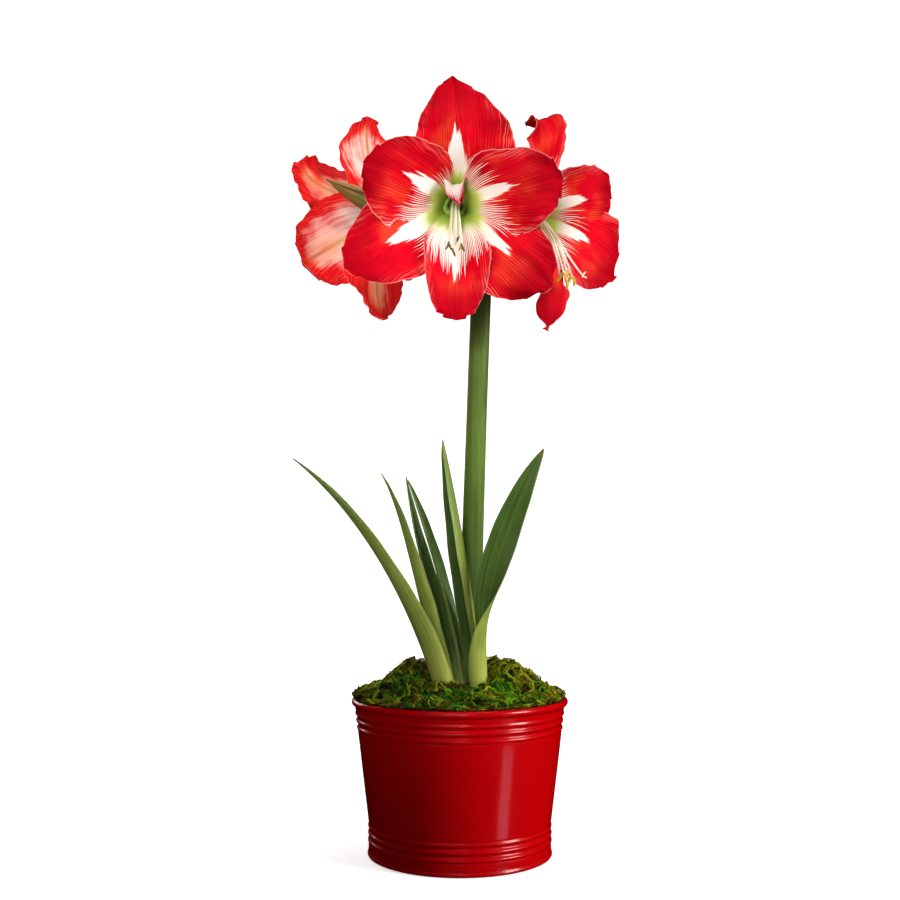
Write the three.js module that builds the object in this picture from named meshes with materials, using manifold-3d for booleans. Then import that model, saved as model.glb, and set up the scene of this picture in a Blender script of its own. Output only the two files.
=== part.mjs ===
// Amaryllis in a painted tin pot: a leafy bulb under moss, one scape, three open blooms and a bud.
// Millimetres, +Z up, +X right, the blooms' face towards -Y. Origin: middle of the pot's underside.
import * as THREE from 'three';
import { mergeVertices } from 'three/addons/utils/BufferGeometryUtils.js';
import Module from 'manifold-3d';

const wasm = await Module();
wasm.setup();

// ---------------------------------------------------------------- driving dimensions
const POT = {
  height: 126, rimRadius: 89, rollRadius: 2.9, neckRadius: 86.2, footRadius: 74.5, coneLow: 26, coneHigh: 120,
  wall: 0.9, floor: 1.2, ribDepth: 0.8, segments: 30,
};
const MIX = { gap: 0.9, top: 113 };
const BULB = { x: 2, y: -4, bottom: 55, widest: 88, radius: 40, neckTop: 134.5, neckX: 19, neckY: 27 };
const MOSS = { holeX: 26.5, holeY: 34, wall: 82.3, lip: 87.6, edge: 131, crown: 154, front: 138,
  segments: 36 };
const SCAPE = { bottom: [6.5, 14, 128], top: [19.5, 2, 489], widthLow: 19.4, widthHigh: 17.2, flat: 0.86 };
const UMBEL = new THREE.Vector3(20, 1, 488);
const OVARY = { length: 18, radius: 5.8 };
const PEDICEL_RADIUS = 3.9;
const TUBE = { length: 13, bottomRadius: 8.4, topRadius: 9.9, bore: 5.5 };
const RING = { outer: 8.5, inner: 6.6 };           // where the two whorls of tepals start
const TEPAL = { midrib: 1.5, margin: 0.7 };        // thicknesses
const LEAF = { midrib: 2.4, margin: 0.8 };

// Each bloom: where its tube starts, where it faces, and its six tepals. Angles are seen from the
// bloom's own front, counter-clockwise from its right hand. reach and rise place the tip across and
// along the axis; belly and shoulder set how the midrib turns outwards; bow swings the tip sideways;
// fall and blunt shape the way from the widest place to the tip.
const PLAIN_TEPAL = {
  width: 66, share: 0.5, widest: 0.5, fall: 2.1, blunt: 0.62, bow: 0, belly: 62, shoulder: 0.62,
  cup: 0.35, cupTip: -0.1, wave: 3.5, waves: 2.3, phase: 0,
};
const BLOOMS = [
  {
    name: 'front', origin: [-4, -48, 526], axis: [0, -0.95, -0.31], tSteps: 10, vSteps: 8,
    tepals: [
      { outer: true, angle: 87, reach: 97, rise: 40, belly: 66, width: 90, share: 0.41, widest: 0.4,
        fall: 1.55, blunt: 0.68, bow: 7, cup: 0.25, wave: 2.5, phase: 0.2 },
      { outer: false, angle: 146, reach: 76, rise: 56, belly: 66, width: 72, blunt: 0.5, bow: 12,
        cup: 0.2, phase: 0.5 },
      { outer: false, angle: 24, reach: 83, rise: 56, belly: 66, width: 69, blunt: 0.5, bow: -15,
        cup: 0.2, phase: 0.1 },
      { outer: true, angle: 206, reach: 97, rise: 50, width: 73, share: 0.48, widest: 0.45, bow: 5,
        cup: 0.2, wave: 4, phase: 0.7 },
      { outer: true, angle: 322, reach: 97, rise: 50, width: 74, share: 0.45, widest: 0.48,
        blunt: 0.58, bow: -2, cup: 0.2, wave: 4, phase: 0.4 },
      { outer: false, angle: 269, reach: 86, rise: 58, belly: 66, width: 53, share: 0.54,
        widest: 0.45, blunt: 0.42, bow: 1, wave: 3, phase: 0.9 },
    ],
    stamens: { reach: 74, drop: 30, spread: 6 },
  },
  {
    name: 'right', origin: [47, -18, 529], axis: [0.7, -0.68, -0.2], tSteps: 9, vSteps: 6,
    tepals: [
      { outer: true, angle: 103, reach: 69, rise: 26, belly: 60, shoulder: 1.3, width: 42, widest: 0.6,
        blunt: 0.6, bow: 16, cup: 0.2, phase: 0.3 },
      { outer: false, angle: 150, reach: 56, rise: 34, belly: 50, width: 46, phase: 0.7 },
      { outer: false, angle: 33, reach: 64, rise: 49, width: 68, blunt: 0.5, bow: -14, phase: 0.1 },
      { outer: true, angle: 212, reach: 58, rise: 34, belly: 50, width: 46, phase: 0.2 },
      { outer: true, angle: 335, reach: 80, rise: 58, belly: 64, width: 72, blunt: 0.5, bow: -6,
        phase: 0.6 },
      { outer: false, angle: 266, reach: 96, rise: 54, width: 44, blunt: 0.9, bow: 6, cup: 0.4, wave: 5,
        phase: 0.4 },
    ],
    stamens: { reach: 68, drop: 55, spread: 7 },
  },
  {
    name: 'left', origin: [-44, 12, 545], axis: [-0.7, 0.7, -0.1], tSteps: 8, vSteps: 6,
    tepals: [
      { outer: true, angle: 82, reach: 90, rise: 32, belly: 50, width: 64, blunt: 0.5, cup: 0.4,
        phase: 0.2 },
      { outer: false, angle: 29, reach: 83, rise: 57, belly: 80, width: 60, blunt: 0.5, phase: 0.6 },
      { outer: false, angle: 150, reach: 76, rise: 54, belly: 66, width: 54, phase: 0.9 },
      { outer: true, angle: 325, reach: 91, rise: 57, belly: 66, width: 76, blunt: 0.52, phase: 0.35 },
      { outer: true, angle: 210, reach: 72, rise: 50, width: 58, phase: 0.1 },
      { outer: false, angle: 270, reach: 92, rise: 42, belly: 60, width: 68, phase: 0.8 },
    ],
    stamens: { reach: 70, drop: 34, spread: 6 },
  },
];

// The fourth flower, still shut: a pointed bud between the front and the left bloom.
const BUD = { base: [-14, -15, 514], tip: [-110, -38, 551], foot: 5.2, radius: 13.5, sag: 3 };

// Strap leaves in two ranks. Midrib as a curve of four points. side is the way the width lies at the
// foot and sideTip from the share turned of the length on; taper and blunt shape the way to the point.
const LEAVES = [
  { mid: [[-19, -22, 137], [-38, -27, 200], [-77, -36, 275], [-134, -40, 320]],
    side: [0.4, -0.9, 0.2], sideTip: [0.02, -0.9, 0.5], turned: 0.7,
    base: 34, width: 36, widest: 0.2, taper: 1.1, blunt: 0.85, cupLow: 1.25, cupHigh: 1 },
  { mid: [[-12.5, -12, 137], [-33, -16, 196], [-44, -18, 274], [-65, -8, 310]],
    side: [0.25, -0.95, 0.1], sideTip: [0.15, -0.95, 0.1], turned: 0.7,
    base: 24, width: 33, widest: 0.35, taper: 1, blunt: 0.9, cupLow: 1.35, cupHigh: 1 },
  { mid: [[-6, -9.7, 137], [-14.8, -7.2, 189], [-35, 2, 238], [-45, 6, 308]],
    side: [-0.42, -0.92, 0], sideTip: [-0.42, -0.92, 0], turned: 1,
    base: 17, width: 24, widest: 0.45, taper: 1.5, blunt: 0.8, cupLow: 1.3, cupHigh: 0.8 },
  { mid: [[2.8, -6.8, 137], [-6, -5.2, 189], [-23, 15, 251], [-44, 22, 306]],
    side: [-0.35, -0.93, 0], sideTip: [-0.35, -0.93, 0], turned: 1,
    base: 10, width: 20, widest: 0.55, taper: 2, blunt: 0.75, cupLow: 1.1, cupHigh: 0.8 },
  { mid: [[15, -3.6, 137], [13.5, -4.6, 194], [-2, -20, 283], [-14, -20, 337]],
    side: [-0.33, 0.93, 0], sideTip: [-0.15, 0.95, 0], turned: 1,
    base: 22, width: 38, widest: 0.5, taper: 1.7, blunt: 0.85, cupLow: 1, cupHigh: 1.15 },
  { mid: [[20, -22, 137], [15.5, -39, 205], [36, -30, 263], [69.5, -16, 330]],
    side: [0.6, 0.8, 0], sideTip: [-0.6, 0.75, 0.25], turned: 0.5,
    base: 25, width: 35, widest: 0.55, taper: 1.9, blunt: 0.75, cupLow: 1.45, cupHigh: 0.35 },
];

// The two withered valves that wrapped the buds, bent back behind the umbel.
const SPATHES = [
  { mid: [[13, 11, 488], [6, 30, 500], [-8, 52, 512], [-20, 60, 486]], side: [0.75, 0.6, 0.3] },
  { mid: [[27, 10, 488], [38, 28, 502], [52, 46, 510], [62, 58, 478]], side: [0.8, -0.5, 0.2] },
];

// ---------------------------------------------------------------- helpers
const V = (p) => new THREE.Vector3(...p);
const smooth = (x) => { const c = THREE.MathUtils.clamp(x, 0, 1); return c * c * (3 - 2 * c); };
const clamp01 = (x) => THREE.MathUtils.clamp(x, 0, 1);
const group = new THREE.Group();

function solid(positions, triangles) {
  const mesh = new wasm.Mesh({
    numProp: 3, vertProperties: new Float32Array(positions), triVerts: new Uint32Array(triangles),
  });
  mesh.merge();
  return new wasm.Manifold(mesh);
}

function solidFromGeometry(geometry) {
  geometry.deleteAttribute('normal');
  geometry.deleteAttribute('uv');
  const g = mergeVertices(geometry, 1e-4);
  return solid(g.attributes.position.array, g.index.array);
}

// The biggest body of a joined solid, without any pocket closed in between its blades.
function wholeBody(joined) {
  const parts = joined.asOriginal().simplify(0.05).decompose().sort((a, b) => b.volume() - a.volume());
  return parts[0];
}

function addPiece(name, body, colour, roughness, metalness = 0) {
  const mesh = body.getMesh();
  const geometry = new THREE.BufferGeometry();
  geometry.setAttribute('position', new THREE.BufferAttribute(new Float32Array(mesh.vertProperties), 3));
  geometry.setIndex(new THREE.BufferAttribute(new Uint32Array(mesh.triVerts), 1));
  geometry.computeVertexNormals();
  const material = new THREE.MeshStandardMaterial({ color: colour, roughness, metalness });
  const piece = new THREE.Mesh(geometry, material);
  piece.name = name;
  group.add(piece);
}

// A closed skin over rings of points; every ring has the same count and the ends are fanned shut.
function ringSolid(rings) {
  const n = rings[0].length;
  const positions = [], triangles = [];
  for (const ring of rings) for (const p of ring) positions.push(p.x, p.y, p.z);
  for (let i = 0; i + 1 < rings.length; i++) {
    for (let j = 0; j < n; j++) {
      const a = i * n + j, b = i * n + ((j + 1) % n), c = a + n, d = b + n;
      triangles.push(a, b, d, a, d, c);
    }
  }
  for (let j = 1; j + 1 < n; j++) {
    triangles.push(0, j + 1, j);
    const e = (rings.length - 1) * n;
    triangles.push(e, e + j, e + j + 1);
  }
  return solid(positions, triangles);
}

// A rod along a curve; radius and flattening may change on the way.
function rod(curve, radius, sides, steps, flat = 1, across = new THREE.Vector3(1, 0, 0)) {
  const rings = [];
  for (let i = 0; i <= steps; i++) {
    const t = i / steps;
    const centre = curve.getPoint(t), along = curve.getTangent(t);
    const u = across.clone().addScaledVector(along, -across.dot(along)).normalize();
    const w = along.clone().cross(u);
    const ring = [];
    for (let k = 0; k < sides; k++) {
      const a = (2 * Math.PI * k) / sides, r = radius(t);
      const p = centre.clone().addScaledVector(u, r * Math.cos(a));
      ring.push(p.addScaledVector(w, r * flat * Math.sin(a)));
    }
    rings.push(ring);
  }
  return ringSolid(rings);
}

const bezier = (points) => new THREE.CubicBezierCurve3(...points);

// A thin blade: surface(t, v) is its middle, t from base to tip and v from margin to margin. Both
// faces are split the same way, so a waved blade keeps its thickness.
function blade(surface, thickness, tSteps, vSteps) {
  const positions = [], triangles = [];
  const id = (i, j, face) => 2 * (i * (vSteps + 1) + j) + face;
  for (let i = 0; i <= tSteps; i++) {
    for (let j = 0; j <= vSteps; j++) {
      const t = i / tSteps, v = -1 + (2 * j) / vSteps, e = 2e-3;
      const p = surface(t, v);
      const dt = surface(Math.min(t + e, 1), v).sub(surface(Math.max(t - e, 0), v));
      const dv = surface(t, v + e).sub(surface(t, v - e));
      const normal = dt.cross(dv).normalize().multiplyScalar(thickness(t, v) / 2);
      positions.push(p.x + normal.x, p.y + normal.y, p.z + normal.z);
      positions.push(p.x - normal.x, p.y - normal.y, p.z - normal.z);
    }
  }
  const quad = (a, b, c, d) => triangles.push(a, b, c, a, c, d);
  for (let i = 0; i < tSteps; i++) {
    for (let j = 0; j < vSteps; j++) {
      quad(id(i, j, 0), id(i + 1, j, 0), id(i + 1, j + 1, 0), id(i, j + 1, 0));
      triangles.push(id(i, j, 1), id(i + 1, j + 1, 1), id(i + 1, j, 1));
      triangles.push(id(i, j, 1), id(i, j + 1, 1), id(i + 1, j + 1, 1));
    }
    quad(id(i + 1, 0, 0), id(i, 0, 0), id(i, 0, 1), id(i + 1, 0, 1));
    quad(id(i, vSteps, 0), id(i + 1, vSteps, 0), id(i + 1, vSteps, 1), id(i, vSteps, 1));
  }
  for (let j = 0; j < vSteps; j++) {
    quad(id(0, j, 0), id(0, j + 1, 0), id(0, j + 1, 1), id(0, j, 1));
    quad(id(tSteps, j + 1, 0), id(tSteps, j, 0), id(tSteps, j, 1), id(tSteps, j + 1, 1));
  }
  return solid(positions, triangles);
}

// Bends a strip around its midrib: side(t) is the way its width lies and cup(t) the half angle that
// it wraps.
function bladeSurface(curve, side, halfWidth, cup, ruffle) {
  return (t, v) => {
    const along = curve.getTangent(t);
    const across = side(t).clone();
    across.addScaledVector(along, -across.dot(along)).normalize();
    const inward = along.clone().cross(across);
    const w = halfWidth(t, v), a = Math.abs(cup(t)) < 1e-3 ? 1e-3 : cup(t);
    return curve.getPoint(t)
      .addScaledVector(across, (w * Math.sin(a * v)) / a)
      .addScaledVector(inward, (w * (1 - Math.cos(a * v))) / a + ruffle(t, v));
  };
}

// ---------------------------------------------------------------- pot
const slope = (z) => POT.footRadius
  + (POT.neckRadius - POT.footRadius) * clamp01((z - POT.coneLow) / (POT.coneHigh - POT.coneLow));
const skin = POT.wall + POT.ribDepth + 0.1;
{
  const rib = (z, sign) => [slope(z) + (sign > 0 ? 0.35 : -POT.ribDepth), z];
  const outside = [
    [0, 0], [40, 0], [45, 1.5], [55, 1.5], [60, 0], [73.2, 0], [75, 0.8], [75.2, 2.4], [74.3, 3.8],
    rib(9.5, -1), rib(12.4, 1), rib(15.3, -1), rib(18.2, 1), rib(21, -1), rib(23.8, 1), [slope(27), 27],
    [slope(98), 98],
    rib(102, 1), rib(105, -1), rib(108, 1), rib(111, -1), rib(114, 1), rib(117, -1),
    [POT.neckRadius, 119.8],
  ];
  const roll = [];
  for (let k = 0; k <= 5; k++) {
    const a = THREE.MathUtils.degToRad(-70 + k * 50);
    roll.push([POT.rimRadius - POT.rollRadius + POT.rollRadius * Math.cos(a),
      POT.height - POT.rollRadius + POT.rollRadius * Math.sin(a)]);
  }
  const inside = [[slope(112) - skin, 112], [slope(20) - skin, 20],
    [72.6, 4], [60, POT.floor], [55, 2.7], [45, 2.7], [40, POT.floor], [0, POT.floor]];
  const profile = [...outside, ...roll, ...inside].map(([r, z]) => new THREE.Vector2(r, z));
  const lathe = new THREE.LatheGeometry(profile, POT.segments).rotateX(Math.PI / 2);
  addPiece('pot', solidFromGeometry(lathe), '#a3100f', 0.22, 0.1);
}

// ---------------------------------------------------------------- potting mix, bulb and moss
const ovalRing = (z, rx, ry, n, cx = BULB.x, cy = BULB.y) =>
  Array.from({ length: n }, (_, k) => {
    const a = (2 * Math.PI * k) / n;
    return new THREE.Vector3(cx + rx * Math.cos(a), cy + ry * Math.sin(a), z);
  });
const bulbOutline = (grow) => {
  const rings = [];
  const rows = [[0, 0.30], [0.08, 0.62], [0.25, 0.90], [0.5, 1], [0.7, 0.95], [0.85, 0.78]];
  for (const [f, s] of rows) {
    const z = BULB.bottom + f * (2 * (BULB.widest - BULB.bottom));
    rings.push([z - (f === 0 ? grow : 0), BULB.radius * s + grow, BULB.radius * s + grow]);
  }
  rings.push([BULB.neckTop - 16, BULB.neckX + 3 + grow, BULB.neckY + 1.5 + grow]);
  rings.push([BULB.neckTop, BULB.neckX + grow, BULB.neckY + grow]);
  if (grow > 0) rings.push([BULB.neckTop + 40, BULB.neckX + grow, BULB.neckY + grow]);
  return ringSolid(rings.map(([z, rx, ry]) => ovalRing(z, rx, ry, 20)));
};
const scapeFoot = (grow) => {
  const [x, y, z] = SCAPE.bottom, half = SCAPE.widthLow / 2;
  return ringSolid([z - 3 * grow, z + 40].map((height) =>
    ovalRing(height, half + 2 * grow, half * SCAPE.flat + 2 * grow, 14, x, y)));
};
{
  const wallIn = (z) => slope(z) - skin - MIX.gap;
  const profile = [[0, 3.1], [66, 3.1], [72.2, 6], [wallIn(26), 26], [wallIn(112), 110],
    [70, MIX.top], [0, MIX.top + 4]];
  const mix = solidFromGeometry(
    new THREE.LatheGeometry(profile.map(([r, z]) => new THREE.Vector2(r, z)), 24).rotateX(Math.PI / 2));
  addPiece('potting_mix', wholeBody(mix.subtract(bulbOutline(0.3))), '#2e2118', 0.95);
  addPiece('bulb', bulbOutline(0).subtract(scapeFoot(0.3)), '#7a5230', 0.7);
}
{
  // The moss lies on the mix, swells over the bulb and laps a little over the rim.
  const bump = (a, r) => 1.7 * Math.sin(5 * a + 0.13 * r) + 1.2 * Math.sin(11 * a - 0.21 * r + 1.3)
    + 0.9 * Math.sin(17 * a + 0.35 * r + 0.4);
  const front = (a) => smooth((-Math.sin(a) - 0.3) / 0.5);
  const rise = (a) => MOSS.crown - MOSS.edge - (MOSS.crown - MOSS.front) * front(a);
  const mound = (a, r) => MOSS.edge + rise(a) * smooth((84 - r) / 48) + bump(a, r);
  const rings = [];
  const add = (radius, height, cx = 0, cy = 0) => {
    rings.push(Array.from({ length: MOSS.segments }, (_, k) => {
      const a = (2 * Math.PI * k) / MOSS.segments, r = radius(a);
      return new THREE.Vector3(cx + r * Math.cos(a), cy + r * Math.sin(a), height(a, r));
    }));
  };
  const ragged = (r) => (a) => r + 0.7 * Math.sin(9 * a) + 0.5 * Math.sin(14 * a + 1);
  add(() => 30, () => 117.6);
  add(() => 70, () => MIX.top + 0.5);
  add(() => MOSS.wall, () => 111.0);
  add(() => MOSS.wall, () => 126.6);
  add(ragged(MOSS.lip - 1), () => 126.7);
  add(ragged(MOSS.lip), (a) => 129 + 0.4 * bump(a, 88));
  for (const r of [84, 77, 69, 60, 50, 40, 29]) add(() => r, mound);
  add(() => 12, () => 152);
  const hole = ringSolid([[100, 0], [136, 0], [165, 12]].map(([z, flare]) =>
    ovalRing(z, MOSS.holeX + flare, MOSS.holeY + flare / 2, 24, BULB.x - flare / 3, BULB.y - flare / 4)));
  const moss = ringSolid(rings).subtract(hole).subtract(bulbOutline(0.3));
  addPiece('moss', wholeBody(moss), '#5c6424', 0.95);
}

// ---------------------------------------------------------------- scape, pedicels and ovaries
const frames = BLOOMS.map((bloom) => {
  const axis = V(bloom.axis).normalize();
  const up = new THREE.Vector3(0, 0, 1).addScaledVector(axis, -axis.z).normalize();
  return { origin: V(bloom.origin), axis, up, right: up.clone().cross(axis) };
});
{
  const stalk = (start, bend, end, axis) => {
    // pedicel, then the swollen ovary up to the foot of the flower
    const foot = end.clone().addScaledVector(axis, -0.3);
    const neck = end.clone().addScaledVector(axis, -OVARY.length);
    const lead = neck.clone().addScaledVector(axis, -14);
    const pedicel = rod(bezier([start, bend, lead, neck]), () => PEDICEL_RADIUS, 8, 5);
    const thin = PEDICEL_RADIUS - 0.3;
    const swell = (t) => thin + (OVARY.radius - thin) * Math.sin(Math.PI * (0.62 * t + 0.1));
    const start2 = neck.clone().addScaledVector(axis, -2);
    return pedicel.add(rod(new THREE.LineCurve3(start2, foot), swell, 8, 3));
  };
  const low = V(SCAPE.bottom), high = V(SCAPE.top);
  const line = bezier([low, low.clone().lerp(high, 0.33).add(V([0.4, 0, 0])),
    low.clone().lerp(high, 0.66).add(V([-0.8, 0, 0])), high]);
  const half = (t) => (SCAPE.widthLow + (SCAPE.widthHigh - SCAPE.widthLow) * Math.min(1, t * 1.6)) / 2
    + 1.6 * smooth((t - 0.96) / 0.04);
  let scape = rod(line, half, 14, 9, SCAPE.flat);
  const bends = [[12, -2, 522], [28, -1, 512], [17, 5, 520]];
  frames.forEach(({ origin, axis }, k) => {
    scape = scape.add(stalk(UMBEL, V(bends[k]), origin, axis));
  });
  const budAxis = V(BUD.tip).sub(V(BUD.base)).normalize();
  scape = scape.add(stalk(UMBEL, V([14, -6, 499]), V(BUD.base), budAxis));
  addPiece('scape', wholeBody(scape), '#7f9a55', 0.5);
}

// ---------------------------------------------------------------- blooms
function tepalSurface({ origin, axis, up, right }, tepal) {
  const p = { ...PLAIN_TEPAL, ...tepal };
  const f = THREE.MathUtils.degToRad(p.angle);
  const out = right.clone().multiplyScalar(Math.cos(f)).addScaledVector(up, Math.sin(f));
  const side = right.clone().multiplyScalar(-Math.sin(f)).addScaledVector(up, Math.cos(f));
  const r0 = p.outer ? RING.outer : RING.inner;
  const at = (o, a, s = 0) =>
    origin.clone().addScaledVector(out, o).addScaledVector(axis, a).addScaledVector(side, s);
  const curve = bezier([at(r0 + 0.6, 6), at(r0 + 3, 32), at(p.reach * p.shoulder, p.belly, p.bow / 2),
    at(p.reach, p.rise, p.bow)]);
  const foot = p.outer ? 0.17 : 0.14;
  const halfWidth = (t, v) => {
    const grow = foot + (1 - foot) * Math.sin((Math.PI / 2) * clamp01(t / p.widest) ** 1.35);
    const fall = clamp01(1 - clamp01((t - p.widest) / (1 - p.widest)) ** p.fall) ** p.blunt;
    const part = v > 0 ? 2 * p.share : 2 * (1 - p.share);
    return Math.max(1, (p.width / 2) * (t < p.widest ? grow : fall) * (1 + (part - 1) * smooth(t / 0.4)));
  };
  const cup = (t) => {
    const open = smooth(t / 0.45), late = smooth((t - 0.45) / 0.5);
    return 0.62 * (1 - open) + p.cup * open * (1 - late) + p.cupTip * late;
  };
  const ruffle = (t, v) => p.wave * smooth((t - 0.2) / 0.5) * Math.abs(v) ** 2.4
    * Math.sin(2 * Math.PI * (p.waves * t + p.phase) + (v > 0 ? 0 : 2.1));
  return bladeSurface(curve, () => side, halfWidth, cup, ruffle);
}

BLOOMS.forEach((bloom, k) => {
  const frame = frames[k];
  const { origin, axis, up, right } = frame;
  const place = new THREE.Matrix4().makeBasis(right, axis, up.clone().negate()).setPosition(origin);
  const tube = [[0, 0], [TUBE.bottomRadius - 0.8, 0], [TUBE.bottomRadius, 1], [TUBE.topRadius, TUBE.length],
    [TUBE.bore + 1.1, TUBE.length], [TUBE.bore, 1.5], [0, 1.5]].map(([r, z]) => new THREE.Vector2(r, z));
  let body = solidFromGeometry(new THREE.LatheGeometry(tube, 18).applyMatrix4(place));
  for (const tepal of bloom.tepals) {
    const thickness = (t, v) => TEPAL.margin
      + (TEPAL.midrib - TEPAL.margin) * (1 - Math.abs(v)) ** 2 * (1 - 0.5 * t);
    body = body.add(blade(tepalSurface(frame, tepal), thickness, bloom.tSteps, bloom.vSteps));
  }
  addPiece(`bloom_${bloom.name}`, wholeBody(body), '#d3302f', 0.5);

  // Six stamens and the style lie along the lower side of the throat and turn up at their ends.
  const at = (a, x, y) =>
    origin.clone().addScaledVector(axis, a).addScaledVector(right, x).addScaledVector(up, y);
  const { reach, drop, spread } = bloom.stamens;
  let stamens = rod(new THREE.LineCurve3(at(1.9, 0, 0), at(4, 0, 0)), () => 4.7, 10, 1, 1, up);
  const filament = (x, y, far, fall, radius) => bezier([at(3, x, y), at(reach * 0.55, x * 0.8, y * 0.6 + 1),
    at(reach * 0.84, x * spread / 4, -fall * 0.66 + y), at(far, x * spread / 3, -fall + y)]);
  for (let n = 0; n < 6; n++) {
    const a = (Math.PI / 3) * n + 0.3;
    const x = 2.9 * Math.cos(a), y = 2.9 * Math.sin(a);
    const line = filament(x, y, reach - 4 * (n % 2), drop - 3 * (n % 2));
    stamens = stamens.add(rod(line, (t) => 1.0 - 0.35 * t, 4, 4, 1, up));
    const end = line.getPoint(1), lean = (n % 2 ? 0.5 : -0.4);
    const half = up.clone().multiplyScalar(4.3).addScaledVector(right, 4.3 * lean);
    const anther = new THREE.LineCurve3(end.clone().sub(half), end.clone().add(half));
    stamens = stamens.add(rod(anther, (t) => 0.7 + 0.9 * Math.sin(Math.PI * t), 4, 2, 1, axis));
  }
  const style = filament(0, 0, reach + 14, drop - 5);
  stamens = stamens.add(rod(style, (t) => 1.1 - 0.35 * t, 4, 4, 1, up));
  const tipEnd = style.getPoint(1), root = tipEnd.clone().addScaledVector(axis, -0.6);
  for (let n = 0; n < 3; n++) {
    const a = (2 * Math.PI * n) / 3 + Math.PI / 2;
    const lobe = tipEnd.clone().addScaledVector(axis, 2.2)
      .addScaledVector(right, 3 * Math.cos(a)).addScaledVector(up, 3 * Math.sin(a));
    stamens = stamens.add(rod(new THREE.LineCurve3(root, lobe), () => 0.6, 4, 1, 1, up));
  }
  addPiece(`stamens_${bloom.name}`, wholeBody(stamens), '#d9d7a8', 0.6);
});

// ---------------------------------------------------------------- bud
{
  const base = V(BUD.base), tip = V(BUD.tip);
  const bend = (f) => base.clone().lerp(tip, f).add(V([0, 0, -BUD.sag]));
  const line = bezier([base.clone().lerp(tip, 0.008), bend(0.33), bend(0.66), tip]);
  const belly = (t) => Math.sin(Math.PI * Math.min(1, t * 0.95 + 0.08)) ** 0.8;
  const radius = (t) => Math.max(0.9, BUD.foot + (BUD.radius - BUD.foot) * belly(t) - 4.3 * t ** 3);
  addPiece('bud', rod(line, radius, 9, 9, 0.85, new THREE.Vector3(0, 1, 0)), '#9aa05a', 0.6);
}

// ---------------------------------------------------------------- spathe valves
SPATHES.forEach(({ mid, side }, k) => {
  const halfWidth = (t) => Math.max(1, 13 * Math.sin(Math.PI * (0.18 + 0.8 * t)));
  const ruffle = (t, v) => 1.4 * Math.abs(v) ** 2 * Math.sin(9 * t + 2 * k + v);
  const surface = bladeSurface(bezier(mid.map(V)), () => V(side).normalize(), halfWidth, () => 0.9, ruffle);
  addPiece(`spathe_${k + 1}`, blade(surface, () => 0.7, 8, 4), '#a58a5e', 0.85);
});

// ---------------------------------------------------------------- leaves
LEAVES.forEach((leaf, k) => {
  const halfWidth = (t) => {
    const grow = leaf.base + (leaf.width - leaf.base) * Math.sin((Math.PI / 2) * clamp01(t / leaf.widest));
    const fall = clamp01(1 - clamp01((t - leaf.widest) / (1 - leaf.widest)) ** leaf.taper) ** leaf.blunt;
    return Math.max(1.1, (grow / 2) * fall);
  };
  const cup = (t) => leaf.cupLow + (leaf.cupHigh - leaf.cupLow) * smooth(t / 0.65);
  const side = (t) => V(leaf.side).normalize().lerp(V(leaf.sideTip).normalize(), smooth(t / leaf.turned));
  const surface = bladeSurface(bezier(leaf.mid.map(V)), side, halfWidth, cup, () => 0);
  const thickness = (t, v) => LEAF.margin + (LEAF.midrib - LEAF.margin) * (1 - v * v) * (1 - 0.7 * t);
  addPiece(`leaf_${k + 1}`, blade(surface, thickness, 9, 6), '#56763f', 0.5);
});

export default group;
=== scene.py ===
import bpy
import numpy as np
from mathutils import Euler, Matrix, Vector


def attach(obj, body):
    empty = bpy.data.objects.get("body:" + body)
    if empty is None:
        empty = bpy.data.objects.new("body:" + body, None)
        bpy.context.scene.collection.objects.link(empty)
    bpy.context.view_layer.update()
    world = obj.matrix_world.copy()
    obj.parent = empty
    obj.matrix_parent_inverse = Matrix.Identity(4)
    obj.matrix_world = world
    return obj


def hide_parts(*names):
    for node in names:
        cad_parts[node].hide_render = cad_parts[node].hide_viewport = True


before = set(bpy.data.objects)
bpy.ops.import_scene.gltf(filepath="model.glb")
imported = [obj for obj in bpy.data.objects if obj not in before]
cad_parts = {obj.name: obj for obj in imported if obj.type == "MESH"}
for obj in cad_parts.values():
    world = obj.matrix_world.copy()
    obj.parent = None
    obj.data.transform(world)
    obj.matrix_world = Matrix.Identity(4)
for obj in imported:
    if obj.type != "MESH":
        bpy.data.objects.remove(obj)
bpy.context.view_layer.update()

# ---------------------------------------------------------------- tin pot
# A tapered pot of thin sheet metal with three ribs rolled in below the rim and three above the foot.
# The rim is rolled outwards over itself, the side has one lap seam at the back, and the base is
# pressed in and seamed on. It is sprayed with a deep red gloss enamel.

MM = 0.001


def ink(code):
    """A colour as a shader wants it, from its six-figure code."""
    part = [int(code[i:i + 2], 16) / 255 for i in (1, 3, 5)]
    return tuple(c / 12.92 if c < 0.04045 else ((c + 0.055) / 1.055) ** 2.4 for c in part) + (1.0,)


class Value:
    """What a shader node gives, so that shader maths reads as plain arithmetic."""

    def __init__(self, finish, socket):
        self.finish, self.socket = finish, socket

    def work(self, operation, other=0.0, swap=False):
        """One Math node on this value and another. The other comes first if they swap places."""
        pair = (other, self) if swap else (self, other)
        return self.finish.node("Math", {"operation": operation}, dict(enumerate(pair)))

    def __add__(self, other):
        return self.work("ADD", other)

    def __sub__(self, other):
        return self.work("SUBTRACT", other)

    def __rsub__(self, other):
        return self.work("SUBTRACT", other, swap=True)

    def __mul__(self, other):
        return self.work("MULTIPLY", other)

    def __truediv__(self, other):
        return self.work("DIVIDE", other)

    def __rtruediv__(self, other):
        return self.work("DIVIDE", other, swap=True)

    def __pow__(self, other):
        return self.work("POWER", other)

    def __abs__(self):
        return self.work("ABSOLUTE")

    __radd__, __rmul__ = __add__, __mul__


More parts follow.
